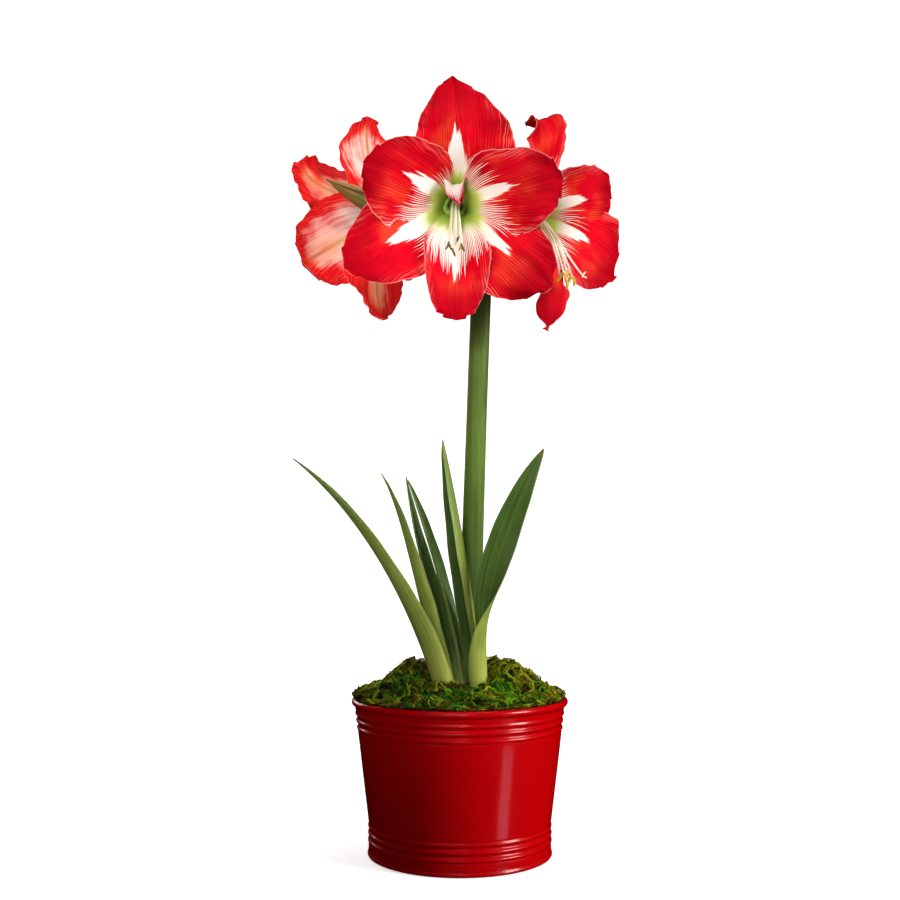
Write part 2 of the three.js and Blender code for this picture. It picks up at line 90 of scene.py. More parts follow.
class Finish:
    """The look of one surface. What is the same all over it is set on the shader, and what varies is
    built from nodes."""

    def __init__(self, name, **all_over):
        self.material = bpy.data.materials.new(name)
        self.material.use_nodes = True
        self.tree = self.material.node_tree
        self.shader = self.tree.nodes["Principled BSDF"]
        self.wear(**all_over)

    def node(self, kind, settings, sockets, out=0):
        """One node of a kind, with its settings made first and then its sockets set or linked."""
        made = self.tree.nodes.new("ShaderNode" + kind)
        for setting, value in settings.items():
            if setting == "stops":
                ramp = made.color_ramp.elements
                while len(ramp) < len(value):
                    ramp.new(1)
                for stop, (place, colour) in zip(ramp, value):
                    stop.position, stop.color = place, ink(colour)
            else:
                setattr(made, setting, value)
        for socket, value in sockets.items():
            self.feed(made.inputs[socket], value)
        return Value(self, made.outputs[out])

    def feed(self, socket, value):
        """Links a value to a socket, or sets a number, a vector or a colour's code there."""
        if isinstance(value, Value):
            self.tree.links.new(value.socket, socket)
        else:
            socket.default_value = ink(value) if isinstance(value, str) else value

    def wear(self, **looks):
        for socket, value in looks.items():
            self.feed(self.shader.inputs[socket.replace("_", " ")], value)

    def ease(self, value, low, high):
        """0 below low, 1 above high, and a smooth rise between them."""
        return self.node("MapRange", {"interpolation_type": "SMOOTHSTEP"},
                         {"Value": value, "From Min": low, "From Max": high})

    def blend(self, share, first, second):
        return self.node("Mix", {"data_type": "RGBA"}, {0: share, 6: first, 7: second}, out=2)

    def ramp(self, value, *stops):
        return self.node("ValToRGB", {"stops": stops}, {"Fac": value})

    def cloud(self, where, scale, detail=2.0, rough=0.5):
        return self.node("TexNoise", {}, {"Vector": where, "Scale": scale, "Detail": detail,
                                          "Roughness": rough})

    def here(self):
        """Where a point of the piece is, in metres."""
        return self.node("TexCoord", {}, {}, out="Object")

    def stretched(self, where, x, y, z):
        return self.node("VectorMath", {"operation": "MULTIPLY"}, {0: where, 1: (x, y, z)})

    def parts(self, vector):
        split = self.node("SeparateXYZ", {}, {"Vector": vector})
        return [Value(self, out) for out in split.socket.node.outputs]

    def point(self, x, y, z):
        return self.node("CombineXYZ", {}, {"X": x, "Y": y, "Z": z})

    def grain(self, x, y, z, detail=2.0, rough=0.5):
        """Cloud that follows three values, such as how far across and along a leaf a point is."""
        return self.cloud(self.point(x, y, z), 1, detail, rough)

    def run(self):
        """How far across and along its blade or rod a point is, from 0 to 1."""
        return self.parts(self.node("UVMap", {"uv_map": "run"}, {}))[:2]

    def marks(self):
        """The three numbers that a point carries."""
        return self.parts(self.node("Attribute", {"attribute_name": "mark"}, {}, out="Vector"))

    def relief(self, height, deep):
        """Fine relief that is deep metres high."""
        self.wear(Normal=self.node("Bump", {}, {"Strength": 1.0, "Distance": deep, "Height": height}))


def show(name, data):
    """A new object in the scene."""
    shown = bpy.data.objects.new(name, data)
    bpy.context.scene.collection.objects.link(shown)
    return shown


class Form:
    """Gathers points in millimetres and faces, then becomes one piece."""

    def __init__(self):
        self.count = 0
        self.points, self.faces, self.coats, self.runs, self.marks = [], [], [], [], []

    def add(self, points, faces, coat=0, run=None, mark=(0, 0, 0)):
        """Points and faces. The coat is the finish's place in the list, and a point has a run, which is
        how far across and along it is, and a mark, which is three numbers."""
        points = np.asarray(points, float).reshape(-1, 3)
        for group in faces:
            group = np.asarray(group, int)
            self.faces.append(group + self.count)
            self.coats.append(np.full(len(group), coat))
        self.points.append(points)
        self.runs.append(np.zeros((len(points), 2)) if run is None else np.asarray(run, float).reshape(-1, 2))
        self.marks.append(np.broadcast_to(np.asarray(mark, float), (len(points), 3)))
        self.count += len(points)

    def place(self, name, finishes, slot, *nodes, crease=None):
        """The finished piece, which stands for the nodes. Edges sharper than the crease stay sharp."""
        corners = np.concatenate([group.ravel() for group in self.faces])
        sizes = np.concatenate([np.full(len(group), group.shape[1]) for group in self.faces])
        mesh = bpy.data.meshes.new(name)
        mesh.vertices.add(self.count)
        mesh.vertices.foreach_set("co", (np.concatenate(self.points) * MM).astype(np.float32).ravel())
        mesh.loops.add(len(corners))
        mesh.loops.foreach_set("vertex_index", corners.astype(np.int32))
        mesh.polygons.add(len(sizes))
        mesh.polygons.foreach_set("loop_start", (np.cumsum(sizes) - sizes).astype(np.int32))
        mesh.polygons.foreach_set("material_index", np.concatenate(self.coats).astype(np.int32))
        mesh.update(calc_edges=True)
        run = mesh.uv_layers.new(name="run")
        run.data.foreach_set("uv", np.concatenate(self.runs)[corners].astype(np.float32).ravel())
        mark = mesh.attributes.new("mark", "FLOAT_VECTOR", "POINT")
        mark.data.foreach_set("vector", np.concatenate(self.marks).astype(np.float32).ravel())
        mesh.shade_smooth()
        if crease is not None:
            mesh.set_sharp_from_angle(angle=np.radians(crease))
        for finish in finishes:
            mesh.materials.append(finish.material)
        piece = show(name, mesh)
        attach(piece, "root")
        if nodes:
            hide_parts(*nodes)


def grid_faces(rows, columns, wrap=False):
    """Four-cornered faces over a grid of points, counter-clockwise when its rows go up and its columns
    to the right."""
    i, j = np.meshgrid(np.arange(rows - 1), np.arange(columns if wrap else columns - 1), indexing="ij")
    next_j = (j + 1) % columns
    return np.stack([i * columns + j, i * columns + next_j,
                     (i + 1) * columns + next_j, (i + 1) * columns + j], axis=-1).reshape(-1, 4)


POT = dict(height=126.0, rim=89.0, roll=2.9, neck=86.2, foot=74.5, taper=(26, 120), floor=1.2)
RIBS = dict(bands=[(12.4, 24.0), (102.4, 114.0)], pitch=5.8, swell=0.75, sunk=0.2, margin=3, fade=2.5)
SEAM = dict(radius=80, half_width=3.2, half_lift=0.25)
POT_SIDES = 224


def pot_side(z):
    low, high = POT["taper"]
    return POT["foot"] + (POT["neck"] - POT["foot"]) * np.clip((z - low) / (high - low), 0, 1)


def ribs(z, first, last):
    """Three rounded ribs between two heights, dying out at both ends."""
    below, above = z - first + RIBS["margin"], last + RIBS["margin"] - z
    fade = np.clip(below / RIBS["fade"], 0, 1) * np.clip(above / RIBS["fade"], 0, 1)
    return fade * (RIBS["swell"] * np.cos(2 * np.pi * (z - first) / RIBS["pitch"]) - RIBS["sunk"])


# The points lie close together over the ribs and far apart between them.
heights = np.concatenate([np.arange(5, 28, 0.55), np.arange(28, 98, 5), np.arange(98, 119.5, 0.55)])
side = pot_side(heights) + sum(ribs(heights, *band) for band in RIBS["bands"])
base = [(0, 0), (39, 0), (41, 0.15), (44, 1.3), (46, 1.5), (54, 1.5), (56, 1.3), (59, 0.15), (61, 0),
        (72.4, 0), (73.6, 0.15), (74.7, 0.7), (75.2, 1.6), (75.1, 2.7), (74.6, 3.4), (74.3, 4.1)]
roll = [(POT["rim"] + POT["roll"] * (np.cos(a) - 1), POT["height"] + POT["roll"] * (np.sin(a) - 1))
        for a in np.radians(np.linspace(-72, 190, 26))]
inside = [(83.3, 119), (83.2, 112), (72.3, 20), (71.4, 4), (60, POT["floor"]), (0, POT["floor"])]
outline = np.array(base + list(zip(side, heights)) + roll + inside)
around = np.linspace(0, 2 * np.pi, POT_SIDES, endpoint=False)
radius, height = outline[:, :1], outline[:, 1:]
order = np.arange(len(outline))[:, None]
is_side = (order > len(base) - 3) & (order < len(base) + len(side))
from_seam = (around - np.pi / 2) * SEAM["radius"]
lap = SEAM["half_lift"] * (1 - np.tanh((np.abs(from_seam) - SEAM["half_width"]) * 2))
waviness = 0.10 * np.sin(3 * around + height / 31) + 0.05 * np.sin(7 * around - height / 17 + 1)
radius = radius + is_side * (lap + waviness)
pot_form = Form()
pot_form.add(np.stack([radius * np.cos(around), radius * np.sin(around), height + 0 * around], axis=-1),
             [grid_faces(len(outline), POT_SIDES, wrap=True)])

enamel = Finish("red enamel", Roughness=0.3, Coat_Weight=0.4, Coat_Roughness=0.12, Specular_IOR_Level=0.1)
where = enamel.here()
_, _, up = enamel.parts(where)
drift = enamel.cloud(where, 14, 3)
scuffs = enamel.ease(enamel.cloud(enamel.stretched(where, 1, 1, 6), 60, 4, 0.7), 0.66, 0.8)
red = enamel.blend(drift, "#bb0005", "#ca0006")
dusty = enamel.ease(enamel.cloud(where, 90, 3), 0.5, 0.8) * enamel.ease(up, 0.02, 0.0)
enamel.wear(Base_Color=enamel.blend(dusty * 0.35, red, "#7c1a12"),
            Roughness=0.27 + scuffs * 0.06 + dusty * 0.2)
enamel.relief(enamel.cloud(where, 300, 2), 0.00003)
pot_form.place("tin_pot", [enamel], "pot_paint", "pot", crease=50)

# ---------------------------------------------------------------- potting mix
# Dark peat and bark fines that fill the tin to two fingers under its rim. The moss hides nearly all
# of it, so the plain filled shape stays and gets its crumb from the finish.

crumb = Finish("potting mix", Roughness=0.95)
where = crumb.here()
grains = crumb.cloud(where, 260, 5, 0.7)
bark = crumb.ease(crumb.cloud(where, 90, 3), 0.55, 0.62)
crumb.wear(Base_Color=crumb.blend(bark, crumb.ramp(grains, (0.3, "#120d09"), (0.7, "#35271b")), "#5a3c22"))
crumb.relief(grains, 0.002)
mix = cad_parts["potting_mix"]
mix.data.materials.clear()
mix.data.materials.append(crumb.material)

# ---------------------------------------------------------------- bulb
# The bulb sits half in the mix. Its brown tunic is dry and papery, splits lengthwise and wraps a
# long neck, out of which the leaves rise, with the flower stem beside them.

BULB_X, BULB_Y, BULB_SIDES, BULB_LEVELS = 2.0, -4.0, 96, 60
BULB_OUTLINE = np.array([  # height, half width, half depth
    (55, 12, 12), (60.3, 24.8, 24.8), (71.5, 36, 36), (88, 39.6, 39.6), (101.2, 38, 38),
    (111, 31.2, 31.2), (118.5, 22.6, 28.6), (126, 19.6, 27.6), (134.5, 18.6, 26.8)])


def closed_skin(form, rings, low, high, coat=0, run=None, mark=(0, 0, 0)):
    """A skin over rings of points, fanned shut to a point at each end."""
    rows, sides = rings.shape[:2]
    j, last = np.arange(sides), (rows - 1) * sides
    next_j = (j + 1) % sides
    form.add(np.concatenate([rings.reshape(-1, 3), [low, high]]),
             [grid_faces(rows, sides, wrap=True),
              np.stack([np.full(sides, last + sides), next_j, j], axis=-1),
              np.stack([np.full(sides, last + sides + 1), last + j, last + next_j], axis=-1)],
             coat, run, mark)


level = np.linspace(0, len(BULB_OUTLINE) - 1, BULB_LEVELS)
z, rx, ry = (np.interp(level, np.arange(len(BULB_OUTLINE)), measure) for measure in BULB_OUTLINE.T)
for _ in range(6):
    rx[1:-1], ry[1:-1] = ((v[:-2] + 2 * v[1:-1] + v[2:]) / 4 for v in (rx, ry))
a = np.linspace(0, 2 * np.pi, BULB_SIDES, endpoint=False)
pleat = 0.5 * np.sin(23 * a) + 0.35 * np.sin(41 * a + 1.1) - 0.6
rings = np.stack([BULB_X + (rx[:, None] + pleat) * np.cos(a), BULB_Y + (ry[:, None] + pleat) * np.sin(a),
                  z[:, None] + 0 * a], axis=-1)
bulb_form = Form()
# The neck is hollow at its top, where the leaves fill it.
closed_skin(bulb_form, rings, (BULB_X, BULB_Y, 55), (BULB_X, BULB_Y, 131))
tunic = Finish("dry tunic", Roughness=0.72)
where = tunic.here()
fibres = tunic.cloud(tunic.stretched(where, 1, 1, 0.08), 240, 4, 0.6)
flakes = tunic.ease(tunic.cloud(tunic.stretched(where, 1, 1, 0.4), 55, 4), 0.5, 0.6)
dry = tunic.ramp(fibres, (0.25, "#3c2010"), (0.75, "#8d5d33"))
tunic.wear(Base_Color=tunic.blend(flakes * 0.6, dry, "#b98d5a"))
tunic.relief(fibres + flakes * 0.5, 0.0006)
bulb_form.place("bulb_tunic", [tunic], "bulb_tunic", "bulb", crease=60)

# ---------------------------------------------------------------- moss
# Preserved sheet moss, tucked over the mix and the shoulder of the bulb and lapping the rim a
# little. It is a dark mat below and a tangle of curled, feathery sprigs on top, dyed in several
# greens that have gone brown in places.

MOSS = dict(wall=82.3, lip=87.6, edge=131.0, crown=154.0, front=138.0, rim_from=81.0, rim_top=127.0)
MAT = dict(rings=34, sides=180, deep=4)
LEAF_FOOT = dict(x=1.0, y=-5.5, half_x=22.5, half_y=27.0)


def smooth(x):
    x = np.clip(x, 0, 1)
    return x * x * (3 - 2 * x)


def from_leaves(x, y):
    """1 at the edge of the oval that the leaves' feet fill, less inside it and more outside."""
    return np.hypot((x - LEAF_FOOT["x"]) / LEAF_FOOT["half_x"], (y - LEAF_FOOT["y"]) / LEAF_FOOT["half_y"])


def mound(a, r):
    """Height of the moss at an angle and distance from the pot's axis."""
    bump = (1.7 * np.sin(5 * a + 0.13 * r) + 1.2 * np.sin(11 * a - 0.21 * r + 1.3)
            + 0.9 * np.sin(17 * a + 0.35 * r + 0.4))
    facing = smooth((-np.sin(a) - 0.3) / 0.5)
    rise = MOSS["crown"] - MOSS["edge"] - (MOSS["crown"] - MOSS["front"]) * facing
    height = MOSS["edge"] + rise * smooth((84 - r) / 48)
    height = height + bump * smooth(r / 30) * (1 - 0.6 * smooth((r - 70) / 14))
    height = height - 4.2 * smooth((r - 75) / 11) * (0.3 + 0.7 * facing)
    near = from_leaves(r * np.cos(a), r * np.sin(a))
    return np.minimum(height, 139 + 22 * np.clip(near - 1, 0, 1) ** 0.8)


a = np.linspace(0, 2 * np.pi, MAT["sides"], endpoint=False)
reach = np.linspace(0, 1, MAT["rings"])[:, None]
foot_r = 1 / np.hypot(np.cos(a) / (LEAF_FOOT["half_x"] - 1), np.sin(a) / (LEAF_FOOT["half_y"] - 1))
foot_x, foot_y = LEAF_FOOT["x"] + foot_r * np.cos(a), LEAF_FOOT["y"] + foot_r * np.sin(a)
lip = MOSS["lip"] - 2.2 + 0.6 * np.sin(9 * a) + 0.4 * np.sin(14 * a + 1)
x = foot_x + (lip * np.cos(a) - foot_x) * reach
y = foot_y + (lip * np.sin(a) - foot_y) * reach
r, angle = np.hypot(x, y), np.arctan2(y, x)
tuft = 0.8 * np.sin(x * 1.1 + 2 * np.sin(y * 0.4)) * np.sin(y * 0.9 + 1.7 * np.sin(x * 0.5))
top = mound(angle, r) - 4.4 + tuft * smooth((1 - reach) * 8)
top = np.where(r > MOSS["wall"] - 1, np.clip(top, 127.1, 128.2), top)
# Below, the mat stays inside the wall of the pot.
inner = np.minimum(r, MOSS["wall"])
below = np.stack([inner * np.cos(angle), inner * np.sin(angle),
                  np.where(r > MOSS["wall"], 126.9, top - MAT["deep"])], axis=-1)
mat_form = Form()
first = np.arange(MAT["sides"])
last, next_one = (2 * MAT["rings"] - 1) * MAT["sides"], np.roll(first, -1)
mat_form.add(np.concatenate([np.stack([x, y, top], axis=-1), below[::-1]]),
             [grid_faces(2 * MAT["rings"], MAT["sides"], wrap=True)[:, ::-1],
              np.stack([first, next_one, last + next_one, last + first], axis=-1)])
felt = Finish("moss mat", Roughness=1.0)
where = felt.here()
strands = felt.cloud(where, 420, 4, 0.7)
felt.wear(Base_Color=felt.ramp(strands, (0.3, "#12110a"), (0.5, "#26240f"), (0.75, "#3d3a14")))
felt.relief(strands, 0.002)
mat_form.place("moss_mat", [felt], "moss", "moss")


def unit(v):
    v = np.asarray(v, float)
    return v / np.maximum(np.linalg.norm(v, axis=-1, keepdims=True), 1e-9)


FROND = dict(steps=8, reach=87.0, tries=40)


def fronds(name, count, seed, growth, length, lift, shades):
    """A tangle of curled fronds over the mound: each a thick thread closely set with leaflets on both
    sides. growth gives the chance of a frond at a place."""
    steps, draw = FROND["steps"], np.random.default_rng(seed)
    tries = count * FROND["tries"]
    distance, angle = FROND["reach"] * np.sqrt(draw.random(tries)), 2 * np.pi * draw.random(tries)
    x, y = distance * np.cos(angle), distance * np.sin(angle)
    kept = np.flatnonzero((from_leaves(x, y) > 0.97) & (draw.random(tries) < growth(x, y)))[:count]
    x, y, n = x[kept], y[kept], len(kept)
    heading = 2 * np.pi * draw.random(n)
    curl = draw.normal(0, 0.35, n)
    step = draw.uniform(*length, n) / steps
    base, arch = draw.uniform(-1.0, 0.3 * lift, n), draw.uniform(1.0, lift + 2.5, n)
    spine, level = np.empty((n, steps + 1, 3)), np.empty((n, steps + 1))
    for k in range(steps + 1):
        r = np.hypot(x, y)
        edge = FROND["reach"] + np.cos(np.arctan2(y, x) - 3.3)
        x, y = x - x / r * np.maximum(r - edge, 0), y - y / r * np.maximum(r - edge, 0)
        r = np.hypot(x, y)
        ground = np.maximum(mound(np.arctan2(y, x), r), np.where(r > MOSS["rim_from"], MOSS["rim_top"], 0))
        level[:, k] = base + arch * np.sin(np.pi * (0.04 + 0.76 * k / steps))
        on_rim = np.where(r > MOSS["rim_from"] + 1, MOSS["rim_top"] + 0.3, 0)
        spine[:, k] = np.stack([x, y, np.maximum(ground - 3.8 + level[:, k], on_rim)], axis=-1)
        x, y = x + step * np.cos(heading), y + step * np.sin(heading)
        heading = heading + curl + draw.normal(0, 0.25, n)
        outwards = np.arctan2(y - LEAF_FOOT["y"], x - LEAF_FOOT["x"])
        heading = np.where(from_leaves(x, y) < 0.95, outwards, heading)
    along = unit(np.gradient(spine, axis=1))
    flat = unit(np.cross(along, [0, 0, 1.0]))
    rise = np.cross(flat, along)
    tilt = draw.uniform(-1.1, 1.1, n)[:, None, None]
    flat, rise = flat * np.cos(tilt) + rise * np.sin(tilt), rise * np.cos(tilt) - flat * np.sin(tilt)
    thick = (draw.uniform(0.8, 1.3, n)[:, None] * np.linspace(1, 0.4, steps + 1))[..., None]
    thread = np.stack([spine + thick * (1.25 * flat * np.cos(t) + 0.8 * rise * np.sin(t))
                       for t in (0.5, 2.6, 4.7)], axis=2)
    start = np.arange(n)[:, None] * (steps + 1) * 3
    tube = start[:, :, None] + grid_faces(steps + 1, 3, wrap=True)[None]
    frond_tone = np.clip(draw.normal(0.5, 0.26, n), 0, 1)
    tone = np.stack([np.repeat(frond_tone, (steps + 1) * 3),
                     np.tile(np.repeat(np.linspace(0, 0.7, steps + 1), 3), n),
                     np.repeat(level.ravel(), 3)], axis=-1)
    ends = np.concatenate([start + [2, 1, 0], start + steps * 3 + [0, 1, 2]])
    form = Form()
    form.add(thread, [tube.reshape(-1, 4), ends], mark=tone)
    # Leaflets point forwards and a little up, shorter towards the tip.
    k = np.arange(1, steps)
    root, way, out, lifted = spine[:, k], along[:, k], flat[:, k], rise[:, k]
    size = (draw.uniform(0.8, 1.2, (n, 1)) * np.linspace(2.4, 1.2, len(k)))[..., None]
    for sign in (-1, 1):
        upwards = draw.uniform(-0.3, 0.6, (n, len(k), 1)) * lifted
        tip = root + size * (0.8 * way + sign * 0.75 * out + upwards)
        leaflet = np.stack([root - 0.9 * way, root + 0.9 * way, root + 0.5 * lifted + 0.1 * way, tip], axis=2)
        first = np.arange(n * len(k))[:, None] * 4
        faces = np.array([(0, 1, 3), (1, 2, 3), (2, 0, 3), (0, 2, 1)])[:, ::sign]
        faces = (first[:, :, None] + faces.T[None]).transpose(0, 2, 1).reshape(-1, 3)
        tone = np.stack([np.repeat(np.clip(frond_tone + draw.normal(0.05, 0.06, n), 0, 1), len(k) * 4),
                         np.tile([0.3, 0.3, 0.3, 1.0], n * len(k)),
                         np.repeat(level[:, k].ravel(), 4)], axis=-1)
        form.add(leaflet, [faces], mark=tone)
    fibre = Finish(name.replace("_", " "), Roughness=0.9, Specular_IOR_Level=0.08)
    shade, tipward, level = fibre.marks()
    patchy = fibre.cloud(fibre.here(), 45, 2)
    colour = fibre.ramp(shade * 0.7 + patchy * 0.5 + tipward * 0.22 - 0.26, *shades)
    withered = fibre.ease(fibre.cloud(fibre.here(), 30, 3, 0.6), 0.6, 0.68)
    colour = fibre.blend(withered * 0.5, colour, "#4d3712")
    # Painted shade: low in the tangle, where the fronds shade each other, they are painted nearly black.
    painted_depth_shade = fibre.ease(level + (patchy - 0.5) * 2, 3.9, 0.8)
    fibre.wear(Base_Color=fibre.blend(painted_depth_shade * 0.94, colour, "#100e06"))
    form.place(name, [fibre], "moss")


def beside(x, y, across, depth, size):
    """1 at a spot, dying out over its size."""
    return np.exp(-((x - across) ** 2 + (y - depth) ** 2) / (2 * size ** 2))


def to_the_right(x):
    return 0.8 / (1 + np.exp(-(x - 30) / 14))


def green_patches(x, y):
    return (0.06 + beside(x, y, 32, -52, 14) + 0.9 * beside(x, y, -12, -66, 12)
            + 0.4 * beside(x, y, -45, -40, 14))


fronds("moss_olive", 1350, 11, lambda x, y: 1 - to_the_right(x), (9, 19), 3.2,
       [(0.1, "#232305"), (0.4, "#4b4e09"), (0.65, "#7c8011"), (0.95, "#b5b42c")])
fronds("moss_yellow", 950, 23, lambda x, y: 0.1 + to_the_right(x), (9, 19), 3.4,
       [(0.1, "#323006"), (0.4, "#66680a"), (0.65, "#999813"), (0.95, "#ccc535")])
fronds("moss_green", 520, 37, green_patches, (9, 19), 4.0,
       [(0.1, "#122c04"), (0.4, "#2a5d09"), (0.65, "#4f9112"), (0.95, "#93c62c")])
fronds("moss_brown", 300, 41, lambda x, y: 0.05 + beside(x, y, 4, -36, 9) + beside(x, y, -27, -6, 9),
       (8, 16), 2.2, [(0.1, "#1c1007"), (0.45, "#4a2f12"), (0.75, "#7a5523"), (1.0, "#a37b42")])

# ---------------------------------------------------------------- leaves
# Six strap leaves, in two ranks either side of the stem. Each is a thick, fleshy channel at its
# foot that opens out and thins to a point, darker on its inner face, with fine parallel veins.


def curve(points, t):
    """Places and directions along a curve of four points."""
    p, t = np.asarray(points, float), np.asarray(t, float)[..., None]
    s = 1 - t
    place = s ** 3 * p[0] + 3 * s * s * t * p[1] + 3 * s * t * t * p[2] + t ** 3 * p[3]
    way = s * s * (p[1] - p[0]) + 2 * s * t * (p[2] - p[1]) + t * t * (p[3] - p[2])
    return place, unit(way)


def blade(form, mid, side, half_width, cup, ruffle, thickness, rows, columns,
          marks=((0, 0, 0), (0, 0, 0)), coats=(0, 1)):
    """A thin blade bent round its midrib. Its inner face gets the first coat and mark, and its back the
    second. The shape is given by functions of t, along it, and v, across it from -1 to 1."""
    t = np.linspace(0, 1, rows)[:, None] * np.ones(columns)
    v = np.sin(np.pi / 2 * np.linspace(-1, 1, columns))[None, :] * np.ones((rows, 1))
    place, along = curve(mid, t)
    side = side(t)
    across = unit(side - along * (along * side).sum(-1, keepdims=True))
    inward = np.cross(along, across)
    half, bend = half_width(t, v), cup(t)
    bend = np.where(np.abs(bend) < 1e-3, 1e-3, bend)
    middle = (place + across * (half * np.sin(bend * v) / bend)[..., None]
              + inward * (half * (1 - np.cos(bend * v)) / bend + ruffle(t, v))[..., None])
    normal = unit(np.cross(np.gradient(middle, axis=0), np.gradient(middle, axis=1)))
    lift = normal * thickness(t, v)[..., None] / 2
    faces = grid_faces(rows, columns)[:, ::-1]
    n = rows * columns
    edge = np.concatenate([np.arange(columns), np.arange(1, rows) * columns + columns - 1,
                           (rows - 1) * columns + np.arange(columns - 2, -1, -1),
                           np.arange(rows - 2, 0, -1) * columns])
    rim = np.stack([edge, np.roll(edge, -1), np.roll(edge, -1) + n, edge + n], axis=-1)
    run = np.tile(np.stack([(v + 1) / 2, t], axis=-1).reshape(-1, 2), (2, 1))
    start = form.count
    form.add(np.stack([middle + lift, middle - lift]), [faces, rim], coats[0], run,
             np.repeat(marks, n, axis=0))
    form.faces.append(faces[:, ::-1] + n + start)
    form.coats.append(np.full(len(faces), coats[1]))


LEAVES = [
    dict(mid=[(-19, -22, 137), (-38, -27, 200), (-77, -36, 275), (-134, -40, 320)],
         side=(0.4, -0.9, 0.2), side_tip=(0.02, -0.9, 0.5), turned=0.7, cup=(1.25, 1),
         base=34, width=36, widest=0.2, taper=1.1, blunt=0.85),
    dict(mid=[(-12.5, -12, 137), (-33, -16, 196), (-44, -18, 274), (-65, -8, 310)],
         side=(0.25, -0.95, 0.1), side_tip=(0.15, -0.95, 0.1), turned=0.7, cup=(1.35, 1),
         base=24, width=33, widest=0.35, taper=1, blunt=0.9),
    dict(mid=[(-6, -9.7, 137), (-14.8, -7.2, 189), (-35, 2, 238), (-45, 6, 308)],
         side=(-0.42, -0.92, 0), side_tip=(-0.42, -0.92, 0), turned=1, cup=(1.3, 0.8),
         base=17, width=24, widest=0.45, taper=1.5, blunt=0.8),
    dict(mid=[(2.8, -6.8, 137), (-6, -5.2, 189), (-23, 15, 251), (-44, 22, 306)],
         side=(-0.35, -0.93, 0), side_tip=(-0.35, -0.93, 0), turned=1, cup=(1.1, 0.8),
         base=10, width=20, widest=0.55, taper=2, blunt=0.75),
    dict(mid=[(15, -3.6, 137), (13.5, -4.6, 194), (-2, -20, 283), (-14, -20, 337)],
         side=(-0.33, 0.93, 0), side_tip=(-0.15, 0.95, 0), turned=1, cup=(1, 1.15),
         base=22, width=38, widest=0.5, taper=1.7, blunt=0.85),
    dict(mid=[(20, -22, 137), (15.5, -39, 205), (36, -30, 263), (69.5, -16, 330)],
         side=(0.6, 0.8, 0), side_tip=(-0.6, 0.75, 0.25), turned=0.5, cup=(1.45, 0.35),
         base=25, width=35, widest=0.55, taper=1.9, blunt=0.75),
]


def leaf_finish(name, dark, middle, light, foot, upper, upward, heart):
    """upward is how far the colour turns to upper towards the tip, and heart how much darker the leaves
    in the middle are, which stand in each other's shade."""
    skin = Finish(name, Roughness=0.5, Specular_IOR_Level=0.22)
    (across, along), (_, _, number) = skin.run(), skin.marks()
    veins = skin.grain(across * 46, along * 1.2, number * 7, 2, 0.6)
    bands = skin.grain(across * 9, along * 1.6, number * 3 + 5, 1)
    mottle = skin.cloud(skin.here(), 60, 3)
    green = skin.ramp(veins * 0.45 + bands * 0.5 + mottle * 0.25 - 0.1,
                      (0.3, dark), (0.52, middle), (0.78, light))
    green = skin.blend(skin.ease(along + mottle * 0.1, 0.35, 0.85) * upward, green, upper)
    green = skin.blend(skin.ease(abs(number - 4), 2, 1) * heart, green, dark)
    # Towards the foot the leaf turns paler: partly its own colour, and partly painted light where the leaves
    # shade each other's feet.
    green = skin.blend(skin.ease(along, 0.22, 0.0), green, foot)
    rim = skin.ease(abs(across - 0.5), 0.488, 0.498)
    green = skin.blend(rim * 0.5, green, "#b3b873")
    tip = skin.ease(along + mottle * 0.03, 0.975, 1.0)
    skin.wear(Base_Color=skin.blend(tip * 0.8, green, "#8a6a35"), Roughness=0.36 + mottle * 0.16)
    skin.relief(veins * 0.8 + bands * 0.6, 0.00025)
    return skin


leaf_inside = leaf_finish("leaf inner face", "#334a1c", "#567230", "#7f9a46", "#7a9040", "#4f6a2c", 0.3, 0.65)
leaf_back = leaf_finish("leaf back", "#6d8036", "#94a144", "#b2ba5a", "#b0b955", "#607832", 0.8, 0.1)
for number, leaf in enumerate(LEAVES, 1):
    def half_width(t, v):
        grow = np.sin(np.pi / 2 * np.clip(t / leaf["widest"], 0, 1))
        late = np.clip((t - leaf["widest"]) / (1 - leaf["widest"]), 0, 1)
        width = leaf["base"] + (leaf["width"] - leaf["base"]) * grow
        return np.maximum(0.7, width / 2 * (1 - late ** leaf["taper"]) ** leaf["blunt"])

    def side(t):
        turn = smooth(t / leaf["turned"])[..., None]
        return unit(leaf["side"]) * (1 - turn) + unit(leaf["side_tip"]) * turn

    def cup(t):
        foot, tip = leaf["cup"]
        return foot + (tip - foot) * smooth(t / 0.65)

    def sway(t, v):
        v = np.abs(v)
        return 0.25 * np.sin(9 * t + number) * v ** 2 + 0.18 * np.sin(31 * t + 2 * number) * v ** 3

    def thickness(t, v):
        return 0.7 + 1.6 * (1 - v * v) * (1 - 0.7 * t)

    leaf_form = Form()
    blade(leaf_form, leaf["mid"], side, half_width, cup, sway, thickness, 96, 27, [(0, 0, number)] * 2)
    leaf_form.place(f"leaf_blade_{number}", [leaf_inside, leaf_back], "leaf", f"leaf_{number}", crease=70)

# ---------------------------------------------------------------- stem
# One thick, slightly flattened flower stem, smooth and waxy, with painted shade where the leaves and blooms
# shade it. At its top it parts into four short stalks, and each swells into the green ovary of its flower.

STEM = dict(bottom=(6.5, 14, 128), top=(19.5, 2, 489), low=19.4, high=17.2, flat=0.86)
UMBEL = (20, 1, 488)
STALK = dict(radius=3.9, lead=14)
OVARY = dict(radius=5.8, length=18)


